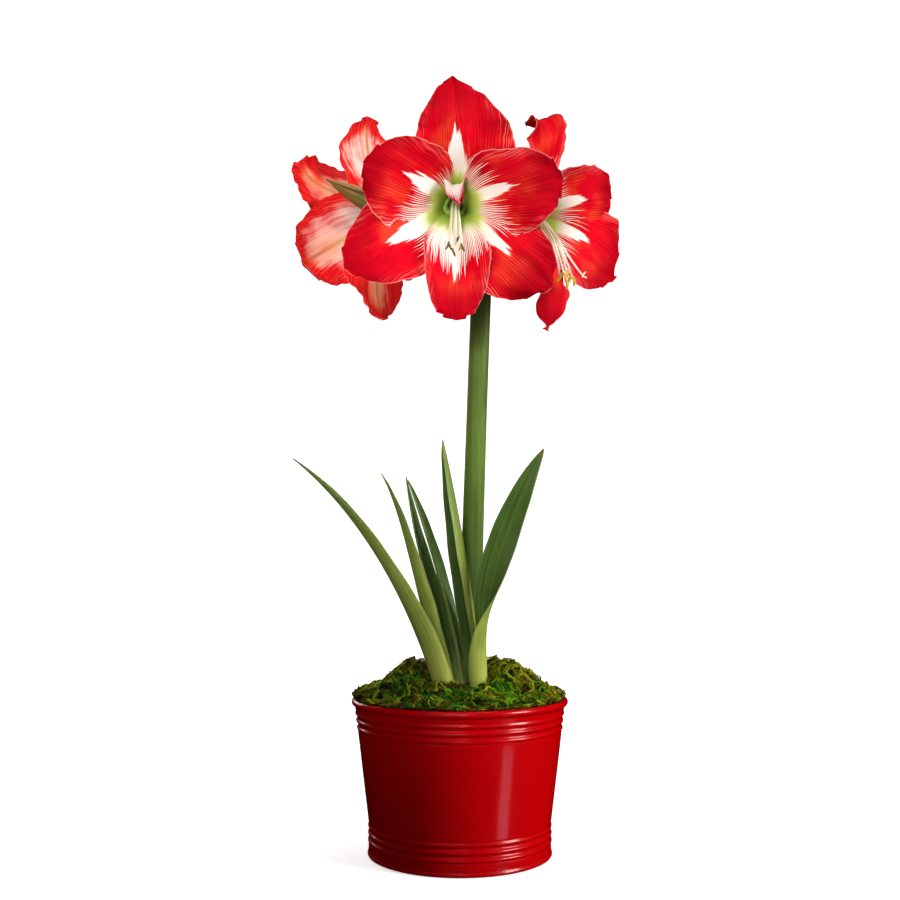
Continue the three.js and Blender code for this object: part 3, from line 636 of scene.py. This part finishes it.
def rod(form, line, radius, sides, across=(1, 0, 0), flat=1.0, coat=0, mark=(0, 0, 0), lobes=None):
    """A closed rod round a line of points. The lobes make it thicker or thinner by how far along and
    round it a point is."""
    line, across = np.asarray(line, float), np.asarray(across, float)
    n = len(line)
    along = unit(np.gradient(line, axis=0))
    u = unit(across - along * (along @ across)[:, None])
    w = np.cross(along, u)
    turn = np.linspace(0, 2 * np.pi, sides, endpoint=False)
    radius = np.broadcast_to(np.asarray(radius, float), n)[:, None]
    if lobes is not None:
        radius = radius * lobes(np.linspace(0, 1, n)[:, None], turn[None, :])
    radius = np.broadcast_to(radius, (n, sides))[..., None]
    rings = line[:, None] + radius * (u[:, None] * np.cos(turn)[:, None]
                                      + flat * w[:, None] * np.sin(turn)[:, None])
    run = np.stack([np.tile(turn / (2 * np.pi), n), np.repeat(np.linspace(0, 1, n), sides)], axis=-1)
    closed_skin(form, rings, line[0], line[-1], coat, np.concatenate([run, [[0.5, 0], [0.5, 1]]]), mark)


def flower_frame(origin, axis):
    """Where a flower starts, the way it faces, and its own up and right."""
    axis = unit(axis)
    up = unit(np.array([0, 0, 1.0]) - axis[2] * axis)
    return np.asarray(origin, float), axis, up, np.cross(up, axis)


FLOWERS = {
    "front": flower_frame((-4, -48, 526), (0, -0.95, -0.31)),
    "right": flower_frame((47, -18, 529), (0.7, -0.68, -0.2)),
    "left": flower_frame((-44, 12, 545), (-0.7, 0.7, -0.1)),
}
BUD = dict(base=np.array([-14.0, -15, 514]), tip=np.array([-110.0, -38, 551]), radius=13.5, sag=3)

low, high = np.array(STEM["bottom"], float), np.array(STEM["top"], float)
t = np.linspace(0, 1, 70)
third, two_thirds = low + 0.33 * (high - low) + [0.4, 0, 0], low + 0.66 * (high - low) + [-0.8, 0, 0]
line, _ = curve([low, third, two_thirds, high], t)
radius = (STEM["low"] + (STEM["high"] - STEM["low"]) * np.minimum(1, t * 1.6)) / 2
radius = radius + 1.6 * smooth((t - 0.955) / 0.04) - 2.2 * smooth((t - 0.992) / 0.008)
stem_form = Form()
rod(stem_form, line, radius, 64, flat=STEM["flat"],
    lobes=lambda t, a: 1 + 0.006 * np.sin(11 * a) + 0.004 * np.sin(19 * a + 9 * t))
stalks = [(*FLOWERS["front"][:2], (12, -2, 522)),
          (*FLOWERS["right"][:2], (28, -1, 512)),
          (*FLOWERS["left"][:2], (17, 5, 520)),
          (BUD["base"], unit(BUD["tip"] - BUD["base"]), (14, -6, 499))]
for origin, axis, bend in stalks:
    neck = origin - axis * OVARY["length"]
    line, _ = curve([UMBEL, bend, neck - axis * STALK["lead"], neck], np.linspace(0, 1, 26))
    rod(stem_form, line, STALK["radius"], 24, across=(0.3, 0.9, 0.3), mark=(1, 0, 0))
    s = np.linspace(0, 1, 18)
    thin = STALK["radius"] - 0.3
    swell = thin + (OVARY["radius"] - thin) * np.sin(np.pi * np.minimum(1, s * 0.62 + 0.1))
    rod(stem_form, neck - axis * 2 + s[:, None] * axis * (OVARY["length"] + 1.7), swell, 36,
        across=(0.3, 0.9, 0.3), mark=(2, 0, 0),
        lobes=lambda t, a: 1 + 0.07 * np.sin(np.pi * t) * np.cos(3 * a))
waxy = Finish("waxy stem", Roughness=0.5, Specular_IOR_Level=0.1)
where = waxy.here()
_, _, up = waxy.parts(where)
kind, _, _ = waxy.marks()
streaks = waxy.cloud(waxy.stretched(where, 1, 1, 0.03), 420, 3)
bands = waxy.cloud(waxy.stretched(where, 1, 1, 0.05), 110, 2)
green = waxy.ramp(streaks * 0.4 + bands * 0.75 - 0.08, (0.3, "#4f6622"), (0.5, "#6c8430"), (0.72, "#90a046"))
# Painted shade makes it darker between the leaves and again towards the blooms. The stalks and ovaries are
# brighter.
green = waxy.blend(waxy.ease(up, 0.37, 0.22) * 0.75, green, "#35421a")
green = waxy.blend(waxy.ease(up, 0.31, 0.385) * 0.6 + waxy.ease(up, 0.41, 0.46) * 0.3, green, "#2f3b15")
green = waxy.blend(waxy.ease(kind, 0, 1.5) * 0.55, green, "#5f8a34")
waxy.wear(Base_Color=green, Roughness=0.42 + streaks * 0.12)
waxy.relief(streaks * 0.5 + bands, 0.0003)
stem_form.place("stem", [waxy], "stem_green", "scape", crease=60)

# ---------------------------------------------------------------- spathe valves
# The two sheath valves that wrapped the buds. They have withered to brown paper, ribbed lengthwise
# and split at the tip, and hang back behind the stalks.

SPATHES = [
    dict(mid=[(13, 11, 488), (6, 30, 500), (-8, 52, 512), (-20, 60, 486)], side=(0.75, 0.6, 0.3)),
    dict(mid=[(27, 10, 488), (38, 28, 502), (52, 46, 510), (62, 58, 478)], side=(0.8, -0.5, 0.2)),
]
paper = Finish("withered sheath", Roughness=0.8)
across, along = paper.run()
pleats = paper.grain(across * 24, along * 1.4, 3, 3)
paper.wear(Base_Color=paper.ramp(pleats * 0.8 + paper.cloud(paper.here(), 70, 3) * 0.4 - 0.1,
                                 (0.3, "#6b4a28"), (0.5, "#a98556"), (0.75, "#cdb388")))
paper.relief(pleats, 0.0006)
for number, spathe in enumerate(SPATHES, 1):
    def half_width(t, v):
        return np.maximum(0.6, 13 * np.sin(np.pi * (0.18 + 0.8 * t)) * (1 + 0.04 * np.sin(40 * t + 3 * v)))

    def crumple(t, v):
        return 1.4 * v ** 2 * np.sin(9 * t + 2 * number - 2 + v) + 0.35 * np.sin(14 * v + 3 * t)

    spathe_form = Form()
    blade(spathe_form, spathe["mid"], lambda t: np.array(spathe["side"]), half_width, lambda t: 0.9 + 0 * t,
          crumple, lambda t, v: 0.5 + 0 * t, 56, 33, coats=(0, 0))
    spathe_form.place(f"sheath_valve_{number}", [paper], "spathe", f"spathe_{number}", crease=70)

# ---------------------------------------------------------------- blooms
# Each bloom is a short green tube that opens into three outer and three inner tepals, overlapping
# at their edges. They are red velvet with a white star along the midribs, which frays out into
# fine red veins, and a green throat. Their backs are paler, with red only at the margins.

RING = dict(outer=8.5, inner=6.6)
# Rows and columns of points on a tepal. The front bloom is the largest and has the most.
GRID = dict(front=(110, 53), right=(94, 47), left=(94, 47))
# reach and rise say how far out and up a tepal ends. star is where its white midrib ends and closed
# where the red veins have met, both along it; lean is how much farther the white reaches on one side,
# and blush is how much of the back is red.
PLAIN = dict(width=66, share=0.5, widest=0.5, fall=2.1, blunt=0.62, bow=0, belly=62, shoulder=0.62,
             cup=0.35, cup_tip=-0.1, wave=3.5, waves=2.3, phase=0, star=0.6, closed=0.45, lean=0, blush=0.5)
TEPALS = {
    "front": [
        dict(outer=True, angle=87, reach=97, rise=40, belly=66, width=90, share=0.41, widest=0.4,
             fall=1.55, blunt=0.68, bow=7, cup=0.25, wave=2.5, phase=0.2, star=0.74, closed=0.47),
        dict(outer=False, angle=146, reach=76, rise=56, belly=66, width=72, blunt=0.5, bow=12,
             cup=0.2, phase=0.5, star=0.72, closed=0.5, lean=0.14),
        dict(outer=False, angle=24, reach=83, rise=56, belly=66, width=69, blunt=0.5, bow=-15,
             cup=0.2, phase=0.1, star=0.71, closed=0.54, lean=-0.1),
        dict(outer=True, angle=206, reach=97, rise=50, width=73, share=0.48, widest=0.45, bow=5,
             cup=0.2, wave=4, phase=0.7, star=0.75, closed=0.5),
        dict(outer=True, angle=322, reach=97, rise=50, width=74, share=0.45, widest=0.48,
             blunt=0.58, bow=-2, cup=0.2, wave=4, phase=0.4, star=0.72, closed=0.52),
        dict(outer=False, angle=269, reach=86, rise=58, belly=66, width=53, share=0.54,
             widest=0.45, blunt=0.42, bow=1, wave=3, phase=0.9, star=0.76, closed=0.7),
    ],
    "right": [
        dict(outer=True, angle=103, reach=69, rise=26, belly=60, shoulder=1.3, width=42, widest=0.6,
             blunt=0.6, bow=16, cup=0.2, phase=0.3, star=0.5, closed=0.4),
        dict(outer=False, angle=150, reach=56, rise=34, belly=50, width=46, phase=0.7),
        dict(outer=False, angle=33, reach=64, rise=49, width=68, blunt=0.5, bow=-14, phase=0.1,
             star=0.69, closed=0.5, lean=-0.1),
        dict(outer=True, angle=212, reach=58, rise=34, belly=50, width=46, phase=0.2),
        dict(outer=True, angle=335, reach=80, rise=58, belly=64, width=72, blunt=0.5, bow=-6,
             phase=0.6, star=0.68, closed=0.5, lean=-0.1),
        dict(outer=False, angle=266, reach=96, rise=54, width=44, blunt=0.9, bow=6, cup=0.4, wave=5,
             phase=0.4, star=0.6, closed=0.5),
    ],
    "left": [
        dict(outer=True, angle=82, reach=90, rise=32, belly=50, width=64, blunt=0.5, cup=0.4,
             phase=0.2, blush=0.3),
        dict(outer=False, angle=29, reach=83, rise=57, belly=80, width=60, blunt=0.5, phase=0.6, blush=0.6),
        dict(outer=False, angle=150, reach=76, rise=54, belly=66, width=54, phase=0.9, blush=0.6),
        dict(outer=True, angle=325, reach=91, rise=57, belly=66, width=76, blunt=0.52, phase=0.35,
             blush=0.45),
        dict(outer=True, angle=210, reach=72, rise=50, width=58, phase=0.1, blush=0.8),
        dict(outer=False, angle=270, reach=92, rise=42, belly=60, width=68, phase=0.8, blush=0.65),
    ],
}


def petal_sockets(petal):
    """Across from -1 to 1, along, the vein a point lies on, and the three marks of its tepal. The veins
    fan out from the foot and run off at the edges."""
    across, along = petal.run()
    v = across * 2 - 1
    late = (along * 2 - 1).work("MAXIMUM", 0.0)
    return v, along, v * (1 - late ** 2.1) ** 0.62 / (1 + along * 0.9), *petal.marks()


face = Finish("petal face", Roughness=0.6, Specular_IOR_Level=0.02)
v, t, vein, star, closed, number = petal_sockets(face)
wander = face.grain(vein * 5, t * 2.5, number, 1)
comb = face.grain(vein * 30, t * 0.9, number + 4, 1) - 0.5
patch = face.grain(v * 1.3, t * 3, number + 7) - 0.5
velvet = face.cloud(face.here(), 40, 2)
lines = face.grain(vein * 75, t * 1.6, number + 9, 2, 0.7)
ridge = abs(((vein * 29 + wander * 2.2 + number * 0.37) * np.pi).work("SINE"))
# Near the throat the petal is white with fine red veins, which widen outwards until they meet.
# Where the white reaches far it is bare of veins.
lean = number - number.work("ROUND")
widening = (t + comb * 0.42 + patch * 0.15 - closed - lean * v + 0.36) / 0.36
widening = widening + face.ease(closed, 0.64, 0.68) * (widening - 1 + abs(v) * 1.5)
streaks = face.ease(ridge, widening * 0.65 + 0.28, widening * 0.65 + 0.5) * face.ease(widening, 1.05, 0.85)
# The white band along the midrib ends bluntly, with torn edges.
shut = face.ease(t + comb * 0.14 + (lines - 0.5) * 0.12, star - 0.28, star + 0.02)
band = (0.22 - 0.1 * t) * (star * 2.5 - 0.85) * (1 - shut * shut) - shut * 0.06
stripe = face.ease(abs(v + lean * t * 2) + comb * 0.12, band + 0.015, band - 0.025)
# The red is streaked, deepest towards the tip, and glows orange in patches.
tone = lines * 0.65 + velvet * 0.25 + ridge * 0.12
deep = face.ramp(tone, (0.34, "#a2000f"), (0.5, "#cb0018"), (0.64, "#e21420"))
deep = face.blend(face.ease(t + patch * 0.4, 0.55, 0.92) * 0.75, deep, "#960010")
warm = face.ramp(tone, (0.34, "#b80a0c"), (0.5, "#dc2415"), (0.64, "#f05a36"))
glow = face.ease(patch + (velvet - 0.5) * 0.3 - abs(v) * 0.12, -0.08, 0.12) * face.ease(t, 0.88, 0.6)
red = face.blend(glow * 0.75, deep, warm)
hem = face.ease(abs(v), 0.7, 0.93) * face.ease(lines, 0.52, 0.62) * face.ease(t, 0.9, 0.6)
red = face.blend(hem * 0.5, red, "#f7a593")
pale = face.ramp(t, (0.2, "#edf0c8"), (0.36, "#f6efe2"), (0.6, "#f4e2da"))
colour = face.blend(stripe.work("MAXIMUM", streaks), red, pale)
throat = face.ease(t + comb * 0.12 - face.ease(abs(v), 0.5, 0.0) * 0.09, 0.33, 0.2)
colour = face.blend(throat, colour, face.ramp(
    t, (0.06, "#7c9434"), (0.2, "#9cb148"), (0.3, "#bcc858"), (0.4, "#dde298")))
margin = face.ease(abs(v) + (velvet - 0.5) * 0.02, 0.972, 0.99) * face.ease(t, 0.3, 0.5)
face.wear(Base_Color=face.blend(margin * 0.45, colour, "#f4b0a6"))
face.relief(lines * 0.5 + ridge * 0.5, 0.00022)

back = Finish("petal back", Roughness=0.65, Specular_IOR_Level=0.06)
v, t, vein, blush, _, number = petal_sockets(back)
comb = back.grain(vein * 22, t * 1.3, number + 2) - 0.5
patch = back.grain(v * 1.6, t * 3.5, number + 3) - 0.5
lines = back.grain(vein * 75, t * 1.7, number + 9, 2, 0.7)
pale = back.ramp(lines * 0.6 + patch * 0.5 + 0.18, (0.3, "#d4887a"), (0.46, "#e4c4b6"), (0.6, "#eae0d4"))
redness = back.ease(abs(v) * 0.9 + t * 0.4 + comb * 0.6 + patch * 1.6 + blush, 0.78, 1.4)
redness = redness.work("MAXIMUM", back.ease(t + comb * 0.15 + abs(v) * 0.12, 0.8, 0.94))
bold = back.ramp(lines, (0.3, "#b00410"), (0.5, "#d50f16"), (0.7, "#e8432f"))
colour = back.blend(redness, pale, bold)
# Between the green keel and the red margins the outer half is flushed with orange.
orange = back.ease(abs(v) + comb * 0.3 + patch * 0.3, 0.5, 0.1) * back.ease(t, 0.35, 0.65)
orange = orange * back.ease(t, 0.97, 0.85)
colour = back.blend(orange * (0.1 + blush * 0.9), colour, "#dc6a36")
keel = back.ease(abs(v) + comb * 0.05, 0.09, 0.02) * back.ease(t, 1.0, 0.8)
colour = back.blend(keel * 0.8, colour, back.ramp(
    t, (0.1, "#8fa544"), (0.45, "#adaa56"), (0.65, "#c0743a"), (0.9, "#a8441f")))
back.wear(Base_Color=back.blend(back.ease(t, 0.2, 0.06), colour, "#93ab4c"))
back.relief(lines, 0.00025)

tube_green = Finish("flower tube", Roughness=0.5, Specular_IOR_Level=0.2)
where = tube_green.here()
tube_green.wear(Base_Color=tube_green.ramp(tube_green.cloud(where, 160, 2),
                                           (0.3, "#7d9c38"), (0.7, "#a3bd54")))
tube_green.relief(tube_green.cloud(where, 500, 2), 0.0001)


def tepal(form, flower, p, number, grid):
    """One petal of a flower. Its wave, frill and ragged edge are its own, drawn from its number."""
    origin, axis, up, right = flower
    a = np.radians(p["angle"])
    out, side = np.cos(a) * right + np.sin(a) * up, np.cos(a) * up - np.sin(a) * right
    draw = np.random.default_rng(100 + number)
    pitch, shift = draw.uniform(5, 9, 6), draw.uniform(0, 6.28, 6)

    def at(across, along, sideways=0.0):
        return origin + out * across + axis * along + side * sideways

    ring, foot = (RING["outer"], 0.17) if p["outer"] else (RING["inner"], 0.14)
    mid = [at(ring + 0.6, 6), at(ring + 3, 32), at(p["reach"] * p["shoulder"], p["belly"], p["bow"] / 2),
           at(p["reach"], p["rise"], p["bow"])]

    def hem(t, v):
        """Along the tepal, and past its end for the other edge, so that its two edges differ."""
        return t + np.where(v > 0, 0, 3.0)

    def half_width(t, v):
        grow = foot + (1 - foot) * np.sin(np.pi / 2 * np.clip(t / p["widest"], 0, 1) ** 1.35)
        late = np.clip((t - p["widest"]) / (1 - p["widest"]), 0, 1)
        fall = np.clip(1 - late ** p["fall"], 0, 1) ** p["blunt"]
        part = np.where(v > 0, 2 * p["share"], 2 * (1 - p["share"]))
        h = hem(t, v)
        ragged = (0.022 * np.sin(2.2 * pitch[0] * h + shift[0]) + 0.014 * np.sin(5 * pitch[1] * h + shift[1])
                  + 0.012 * np.sin(9 * pitch[2] * h + shift[2]) * np.sin(4 * pitch[3] * h))
        tip = 1 + 0.22 * np.sin(14 * pitch[4] * h + shift[4]) * smooth((t - 0.9) / 0.08)
        width = p["width"] / 2 * np.where(t < p["widest"], grow, fall) * (1 + (part - 1) * smooth(t / 0.4))
        return np.maximum(0.5, width * (1 + ragged * smooth((t - 0.25) / 0.2)) * tip)

    def cup(t):
        opened, late = smooth(t / 0.45), smooth((t - 0.45) / 0.5)
        return 0.62 * (1 - opened) + p["cup"] * opened * (1 - late) + p["cup_tip"] * late

    def ruffle(t, v):
        h = hem(t, v)
        wave = (p["wave"] * smooth((t - 0.2) / 0.5) * np.abs(v) ** 2.4
                * np.sin(2 * np.pi * (p["waves"] * t + p["phase"]) + np.where(v > 0, 0, 2.1)))
        frill = 1.5 * np.sin(4.4 * pitch[5] * h + shift[5]) + 0.7 * np.sin(9.5 * pitch[0] * h + shift[2])
        frill = frill * smooth((t - 0.3) / 0.3) * np.abs(v) ** 4
        groove = -0.35 * np.exp(-(v / 0.1) ** 2) * smooth(t / 0.2) * (1 - 0.6 * t)
        swell = (0.7 * np.sin(7 * v + shift[3]) * np.sin(9 * t + shift[1])
                 + 0.25 * np.sin(25 * v / (1 + t) + shift[4]) * smooth((t - 0.2) / 0.3)) * smooth(t / 0.3)
        return wave + frill + groove + swell

    def thickness(t, v):
        return 0.45 + 0.75 * (1 - np.abs(v)) ** 2 * (1 - 0.5 * t)

    blade(form, mid, lambda t: side, half_width, cup, ruffle, thickness, *grid,
          ((p["star"], p["closed"], number + p["lean"]), (p["blush"], 0, number)))


def curled_petal(form, flower):
    """A small striped petal that has grown inside the bloom and hangs curled over its throat."""
    origin, axis, up, right = flower
    mid = [origin + up * rise + axis * far + right * aside
           for rise, far, aside in ((13, 17, 2), (21, 30, -2), (15, 47, 0), (1.5, 44, 3.5))]

    def side(t):
        turn = (0.9 * t - 0.3)[..., None]
        return right * np.cos(turn) + up * np.sin(turn)

    def half_width(t, v):
        swell = np.sin(np.pi * np.clip(0.12 + 0.88 * t, 0, 1)) ** 0.8
        return 0.6 + 10 * swell * (1 + 0.1 * np.sin(13 * t + 2 * v))

    def ruffle(t, v):
        return 1.8 * v ** 2 * np.sin(9 * t + 2 * v) + 0.5 * np.sin(9 * v)

    blade(form, mid, side, half_width, lambda t: 1.3 - 0.5 * t, ruffle, lambda t, v: 0.5 + 0 * t, 48, 33,
          ((0.0, 1.0, 31), (0.2, 0, 31)))


TUBE = [  # radius and height, up the outside and down the bore
    (0, 0), (7.2, 0), (8.1, 0.4), (8.4, 1.2), (9.2, 7), (9.9, 12.4), (9.6, 13), (6.9, 13), (6.4, 12.4),
    (5.7, 4), (5.5, 1.5), (0, 1.5)]
number = 0
for name, flower in FLOWERS.items():
    origin, axis, up, right = flower
    form = Form()
    for special in TEPALS[name]:
        number += 1
        tepal(form, flower, {**PLAIN, **special}, number, GRID[name])
    turn = np.linspace(0, 2 * np.pi, 48, endpoint=False)
    tube = [[origin + axis * h + r * (1 + 0.03 * np.cos(6 * a)) * (right * np.cos(a) - up * np.sin(a))
             for a in turn] for r, h in TUBE]
    form.add(tube, [grid_faces(len(TUBE), len(turn), wrap=True)], coat=2)
    if name == "front":
        curled_petal(form, flower)
    form.place(f"bloom_{name}_tepals", [face, back, tube_green], "petal", f"bloom_{name}", crease=75)

# ---------------------------------------------------------------- stamens and styles
# Six stamens and one longer style lie along the lower side of each throat and turn up at the end.
# The filaments are white, green at the foot; the anthers hang across them, dark until they open and
# yellow with pollen after; the style ends in three short lobes.

# How far the filaments reach out of each bloom, how far they drop, and how widely they spread. Those of
# the front bloom are younger: their anthers are smaller and all but one still dark.
STAMENS = {
    "front": dict(reach=74, drop=30, spread=6, anther=3.2, plump=0.6, ripe=[5]),
    "right": dict(reach=68, drop=55, spread=7, anther=4.0, plump=1.0, ripe=range(6)),
    "left": dict(reach=70, drop=34, spread=6, anther=4.0, plump=1.0, ripe=range(6)),
}
thread = Finish("filament", Roughness=0.5)
_, along = thread.run()
thread.wear(Base_Color=thread.ramp(along, (0.0, "#93b04a"), (0.3, "#dfe6b4"), (0.7, "#f3ecd9"),
                                   (1.0, "#efc9bd")))
thread.relief(thread.cloud(thread.here(), 700, 2), 0.00005)
pollen = Finish("anther", Roughness=0.9)
ripe, _, _ = pollen.marks()
grains = pollen.cloud(pollen.here(), 1800, 2)
pollen.wear(Base_Color=pollen.blend(ripe, pollen.ramp(grains, (0.3, "#2a2312"), (0.7, "#5b4d24")),
                                    pollen.ramp(grains, (0.3, "#b8860f"), (0.7, "#e8c244"))))
pollen.relief(grains, 0.0004)
for name, p in STAMENS.items():
    origin, axis, up, right = FLOWERS[name]

    def at(a, x, y):
        return origin + axis * a + right * x + up * y

    def filament(x, y, far, fall):
        line, _ = curve([at(3, x, y), at(p["reach"] * 0.55, x * 0.8, y * 0.6 + 1),
                         at(p["reach"] * 0.84, x * p["spread"] / 4, y - fall * 0.66),
                         at(far, x * p["spread"] / 3, y - fall)], s)
        return line

    form = Form()
    s = np.linspace(0, 1, 36)
    rod(form, [at(1.9, 0, 0), at(2.6, 0, 0), at(4, 0, 0)], [4.7, 4.7, 4.3], 24, across=up)
    for n in range(6):
        a, shorter = np.pi / 3 * n + 0.3, n % 2
        line = filament(2.9 * np.cos(a), 2.9 * np.sin(a), p["reach"] - 4 * shorter, p["drop"] - 3 * shorter)
        rod(form, line, 1.0 - 0.42 * s, 10, across=up)
        half = p["anther"] * (up + (0.5 if shorter else -0.4) * right)
        ends = np.linspace(-1, 1, 15)[:, None]
        arch = line[-1] + half * ends + axis * 0.9 * (1 - ends ** 2) - axis * 0.4
        plump = 0.3 + p["plump"] * np.sqrt(np.clip(1 - ends[:, 0] ** 2, 0, 1))
        rod(form, arch, plump, 12, across=axis, coat=1, mark=(0.95 if n in p["ripe"] else 0.12, 0, 0),
            lobes=lambda t, a: 1 - 0.16 * np.abs(np.cos(a)) ** 6)
    line = filament(0, 0, p["reach"] + 14, p["drop"] - 5)
    rod(form, line, 1.1 - 0.35 * s, 12, across=up)
    for n in range(3):
        a = 2 * np.pi * n / 3 + np.pi / 2
        lobe = 2.8 * axis + 3 * np.cos(a) * right + 3 * np.sin(a) * up
        q = np.linspace(0, 1, 8)[:, None]
        rod(form, line[-1] - 0.6 * axis + lobe * q - axis * 0.7 * q * (1 - q), [0.62] * 7 + [0.4], 8,
            across=up)
    form.place(f"stamens_{name}_fine", [thread, pollen], "stamen", f"stamens_{name}", crease=70)

# ---------------------------------------------------------------- bud
# The fourth flower, still shut: three outer tepals wrapped round each other to a point, green along
# their keels, tan between and reddish brown at the edges.

length = BUD["tip"] - BUD["base"]
middle = [BUD["base"] + length * share - [0, 0, BUD["sag"]] for share in (0.33, 0.66)]
s = np.linspace(0, 1, 60)
line, _ = curve([BUD["base"] + 0.008 * length, *middle, BUD["tip"]], s)
plump = 5.2 + (BUD["radius"] - 5.2) * np.sin(np.pi * np.minimum(1, s * 0.95 + 0.08)) ** 0.8 - 4.3 * s ** 3


def furrows(t, a):
    """Three tepals, each lapping the next: a ridge that falls away in a step at its edge."""
    phase = ((a + 1.1 * t) / (2 * np.pi) * 3) % 1
    return 1 - 0.11 * smooth((phase - 0.82) / 0.18) + 0.05 * np.cos(2 * np.pi * phase) - 0.04


bud_form = Form()
rod(bud_form, line, np.maximum(0.5, plump), 72, across=(0, 1, 0), flat=0.85, lobes=furrows)
shut = Finish("bud", Roughness=0.55, Specular_IOR_Level=0.2)
across, along = shut.run()
lap = (across * 3 + along * 0.525).work("FRACT")
streaks = shut.grain(across * 26, along * 1.4, 5, 3, 0.6)
patches = shut.cloud(shut.stretched(shut.here(), 0.3, 1, 1), 60, 2)
colour = shut.ramp(patches * 0.6 + streaks * 0.7 - 0.15,
                   (0.3, "#2b3512"), (0.46, "#5b6026"), (0.6, "#8f7a3c"), (0.75, "#b98d58"))
# The tepal that wraps over the top is drier than the others, and the tip is tan.
dry = shut.ease(across + along * 0.175, 0.66, 0.68)
dry = dry.work("MAXIMUM", shut.ease(along + streaks * 0.3, 0.84, 0.96) * 0.8)
tan = shut.ramp(streaks, (0.3, "#5f4419"), (0.5, "#9a7738"), (0.7, "#c7a56c"))
colour = shut.blend(dry * 0.8, colour, tan)
colour = shut.blend(shut.ease(streaks + along * 0.1, 0.6, 0.72) * 0.7, colour, "#8e2a1a")
hem = shut.ease(lap + streaks * 0.15, 0.84, 0.98)
shut.wear(Base_Color=shut.blend(hem * 0.85, colour, "#4a160d"))
shut.relief(streaks, 0.0006)
bud_form.place("bud_closed", [shut], "bud_green", "bud", crease=60)

# ---------------------------------------------------------------- studio
# A pale floor that sweeps up into a wall all round. The key lamp is broad and stands on the right, with
# small lamps of narrow beam on the leaves and blooms, and one low on the right that draws the highlight
# down the tin. The camera is level with the middle of the leaves.

FLOOR = dict(flat=2.2, bend=0.9, top=4, sides=96)
sweep = [(0.02, 0), (FLOOR["flat"], 0)]
sweep += [(FLOOR["flat"] + FLOOR["bend"] * np.sin(a), FLOOR["bend"] * (1 - np.cos(a)))
          for a in np.linspace(0.1, np.pi / 2, 15)]
sweep += [(FLOOR["flat"] + FLOOR["bend"], FLOOR["top"])]
turn = np.linspace(0, 2 * np.pi, FLOOR["sides"], endpoint=False)
points = [(r * np.cos(a), r * np.sin(a), z) for r, z in sweep for a in turn]
faces = grid_faces(len(sweep), len(turn), wrap=True)[:, ::-1].tolist() + [list(range(len(turn)))]
floor_mesh = bpy.data.meshes.new("floor")
floor_mesh.from_pydata(points, [], faces)
floor_mesh.shade_smooth()
card = Finish("pale floor", Base_Color="#f6f5f3", Roughness=0.9, Specular_IOR_Level=0.0,
              Emission_Color="#ffffff", Emission_Strength=0.6)
floor_mesh.materials.append(card.material)
floor = show("floor", floor_mesh)
floor.visible_glossy = floor.visible_diffuse = floor.visible_shadow = False

LAMPS = {  # place, what it points at, width, height, watts, colour and degrees of beam
    "key": ((2.25, -1.0, 0.9), (0, 0, 0.3), 0.9, 0.9, 66, (1, 1, 1), 180),
    "blooms": ((-0.3, -1.7, 0.7), (0.02, -0.05, 0.55), 0.4, 0.4, 0.72, (1, 1, 1), 28),
    "leaves": ((0.1, -1.7, 0.6), (-0.02, 0, 0.27), 0.3, 0.3, 0.12, (1, 1, 1), 20),
    "left bloom": ((-0.95, -1.5, 0.12), (-0.1, 0, 0.58), 0.4, 0.4, 0.22, (1, 0.96, 0.91), 24),
    "under left": ((0.16, -0.9, -0.12), (-0.1, 0, 0.455), 0.12, 0.12, 0.038, (1, 0.95, 0.9), 7),
    "fill": ((-0.8, -2.0, 1.3), (0, 0, 0.5), 1.4, 1.4, 0.5, (1, 1, 1), 180),
    "top": ((0, 0.1, 2.2), (0, 0, 0), 1.6, 1.6, 12, (1, 1, 1), 180),
    "strip": ((0.88, -0.64, -0.43), (0.034, -0.072, 0.07), 0.25, 0.22, 0.4, (1, 0.8, 0.95), 180),
    "behind": ((-1.2, 1.9, 1.1), (0, 0, 0.35), 1.2, 1.2, 16, (1, 1, 1), 180),
    "back": ((0, 1.0, 2.4), (0, 3.0, 0.8), 3.0, 1.2, 45, (1, 1, 1), 180),
}
for name, (place, aim, width, height, watts, colour, beam) in LAMPS.items():
    data = bpy.data.lights.new(name, "AREA")
    data.shape, data.size, data.size_y, data.energy, data.color = "RECTANGLE", width, height, watts, colour
    data.spread = np.radians(beam)
    lamp = show(name, data)
    lamp.location = place
    lamp.rotation_euler = (Vector(aim) - Vector(place)).to_track_quat("-Z", "Y").to_euler()
    lamp.visible_camera = False

scene = bpy.context.scene
scene.world = bpy.data.worlds.new("studio")
scene.world.use_nodes = True
air = scene.world.node_tree.nodes["Background"]
air.inputs["Color"].default_value = (1, 1, 1, 1)
air.inputs["Strength"].default_value = 0.06
scene.world.cycles_visibility.glossy = False
scene.view_settings.view_transform = "Standard"

camera_data = bpy.data.cameras.new("camera")
camera_data.sensor_width, camera_data.lens = 36, 46.72
scene.camera = show("camera", camera_data)
scene.camera.location = (-0.008, -0.978, 0.2506)
scene.camera.rotation_euler = Euler((np.radians(94.66), 0, 0))
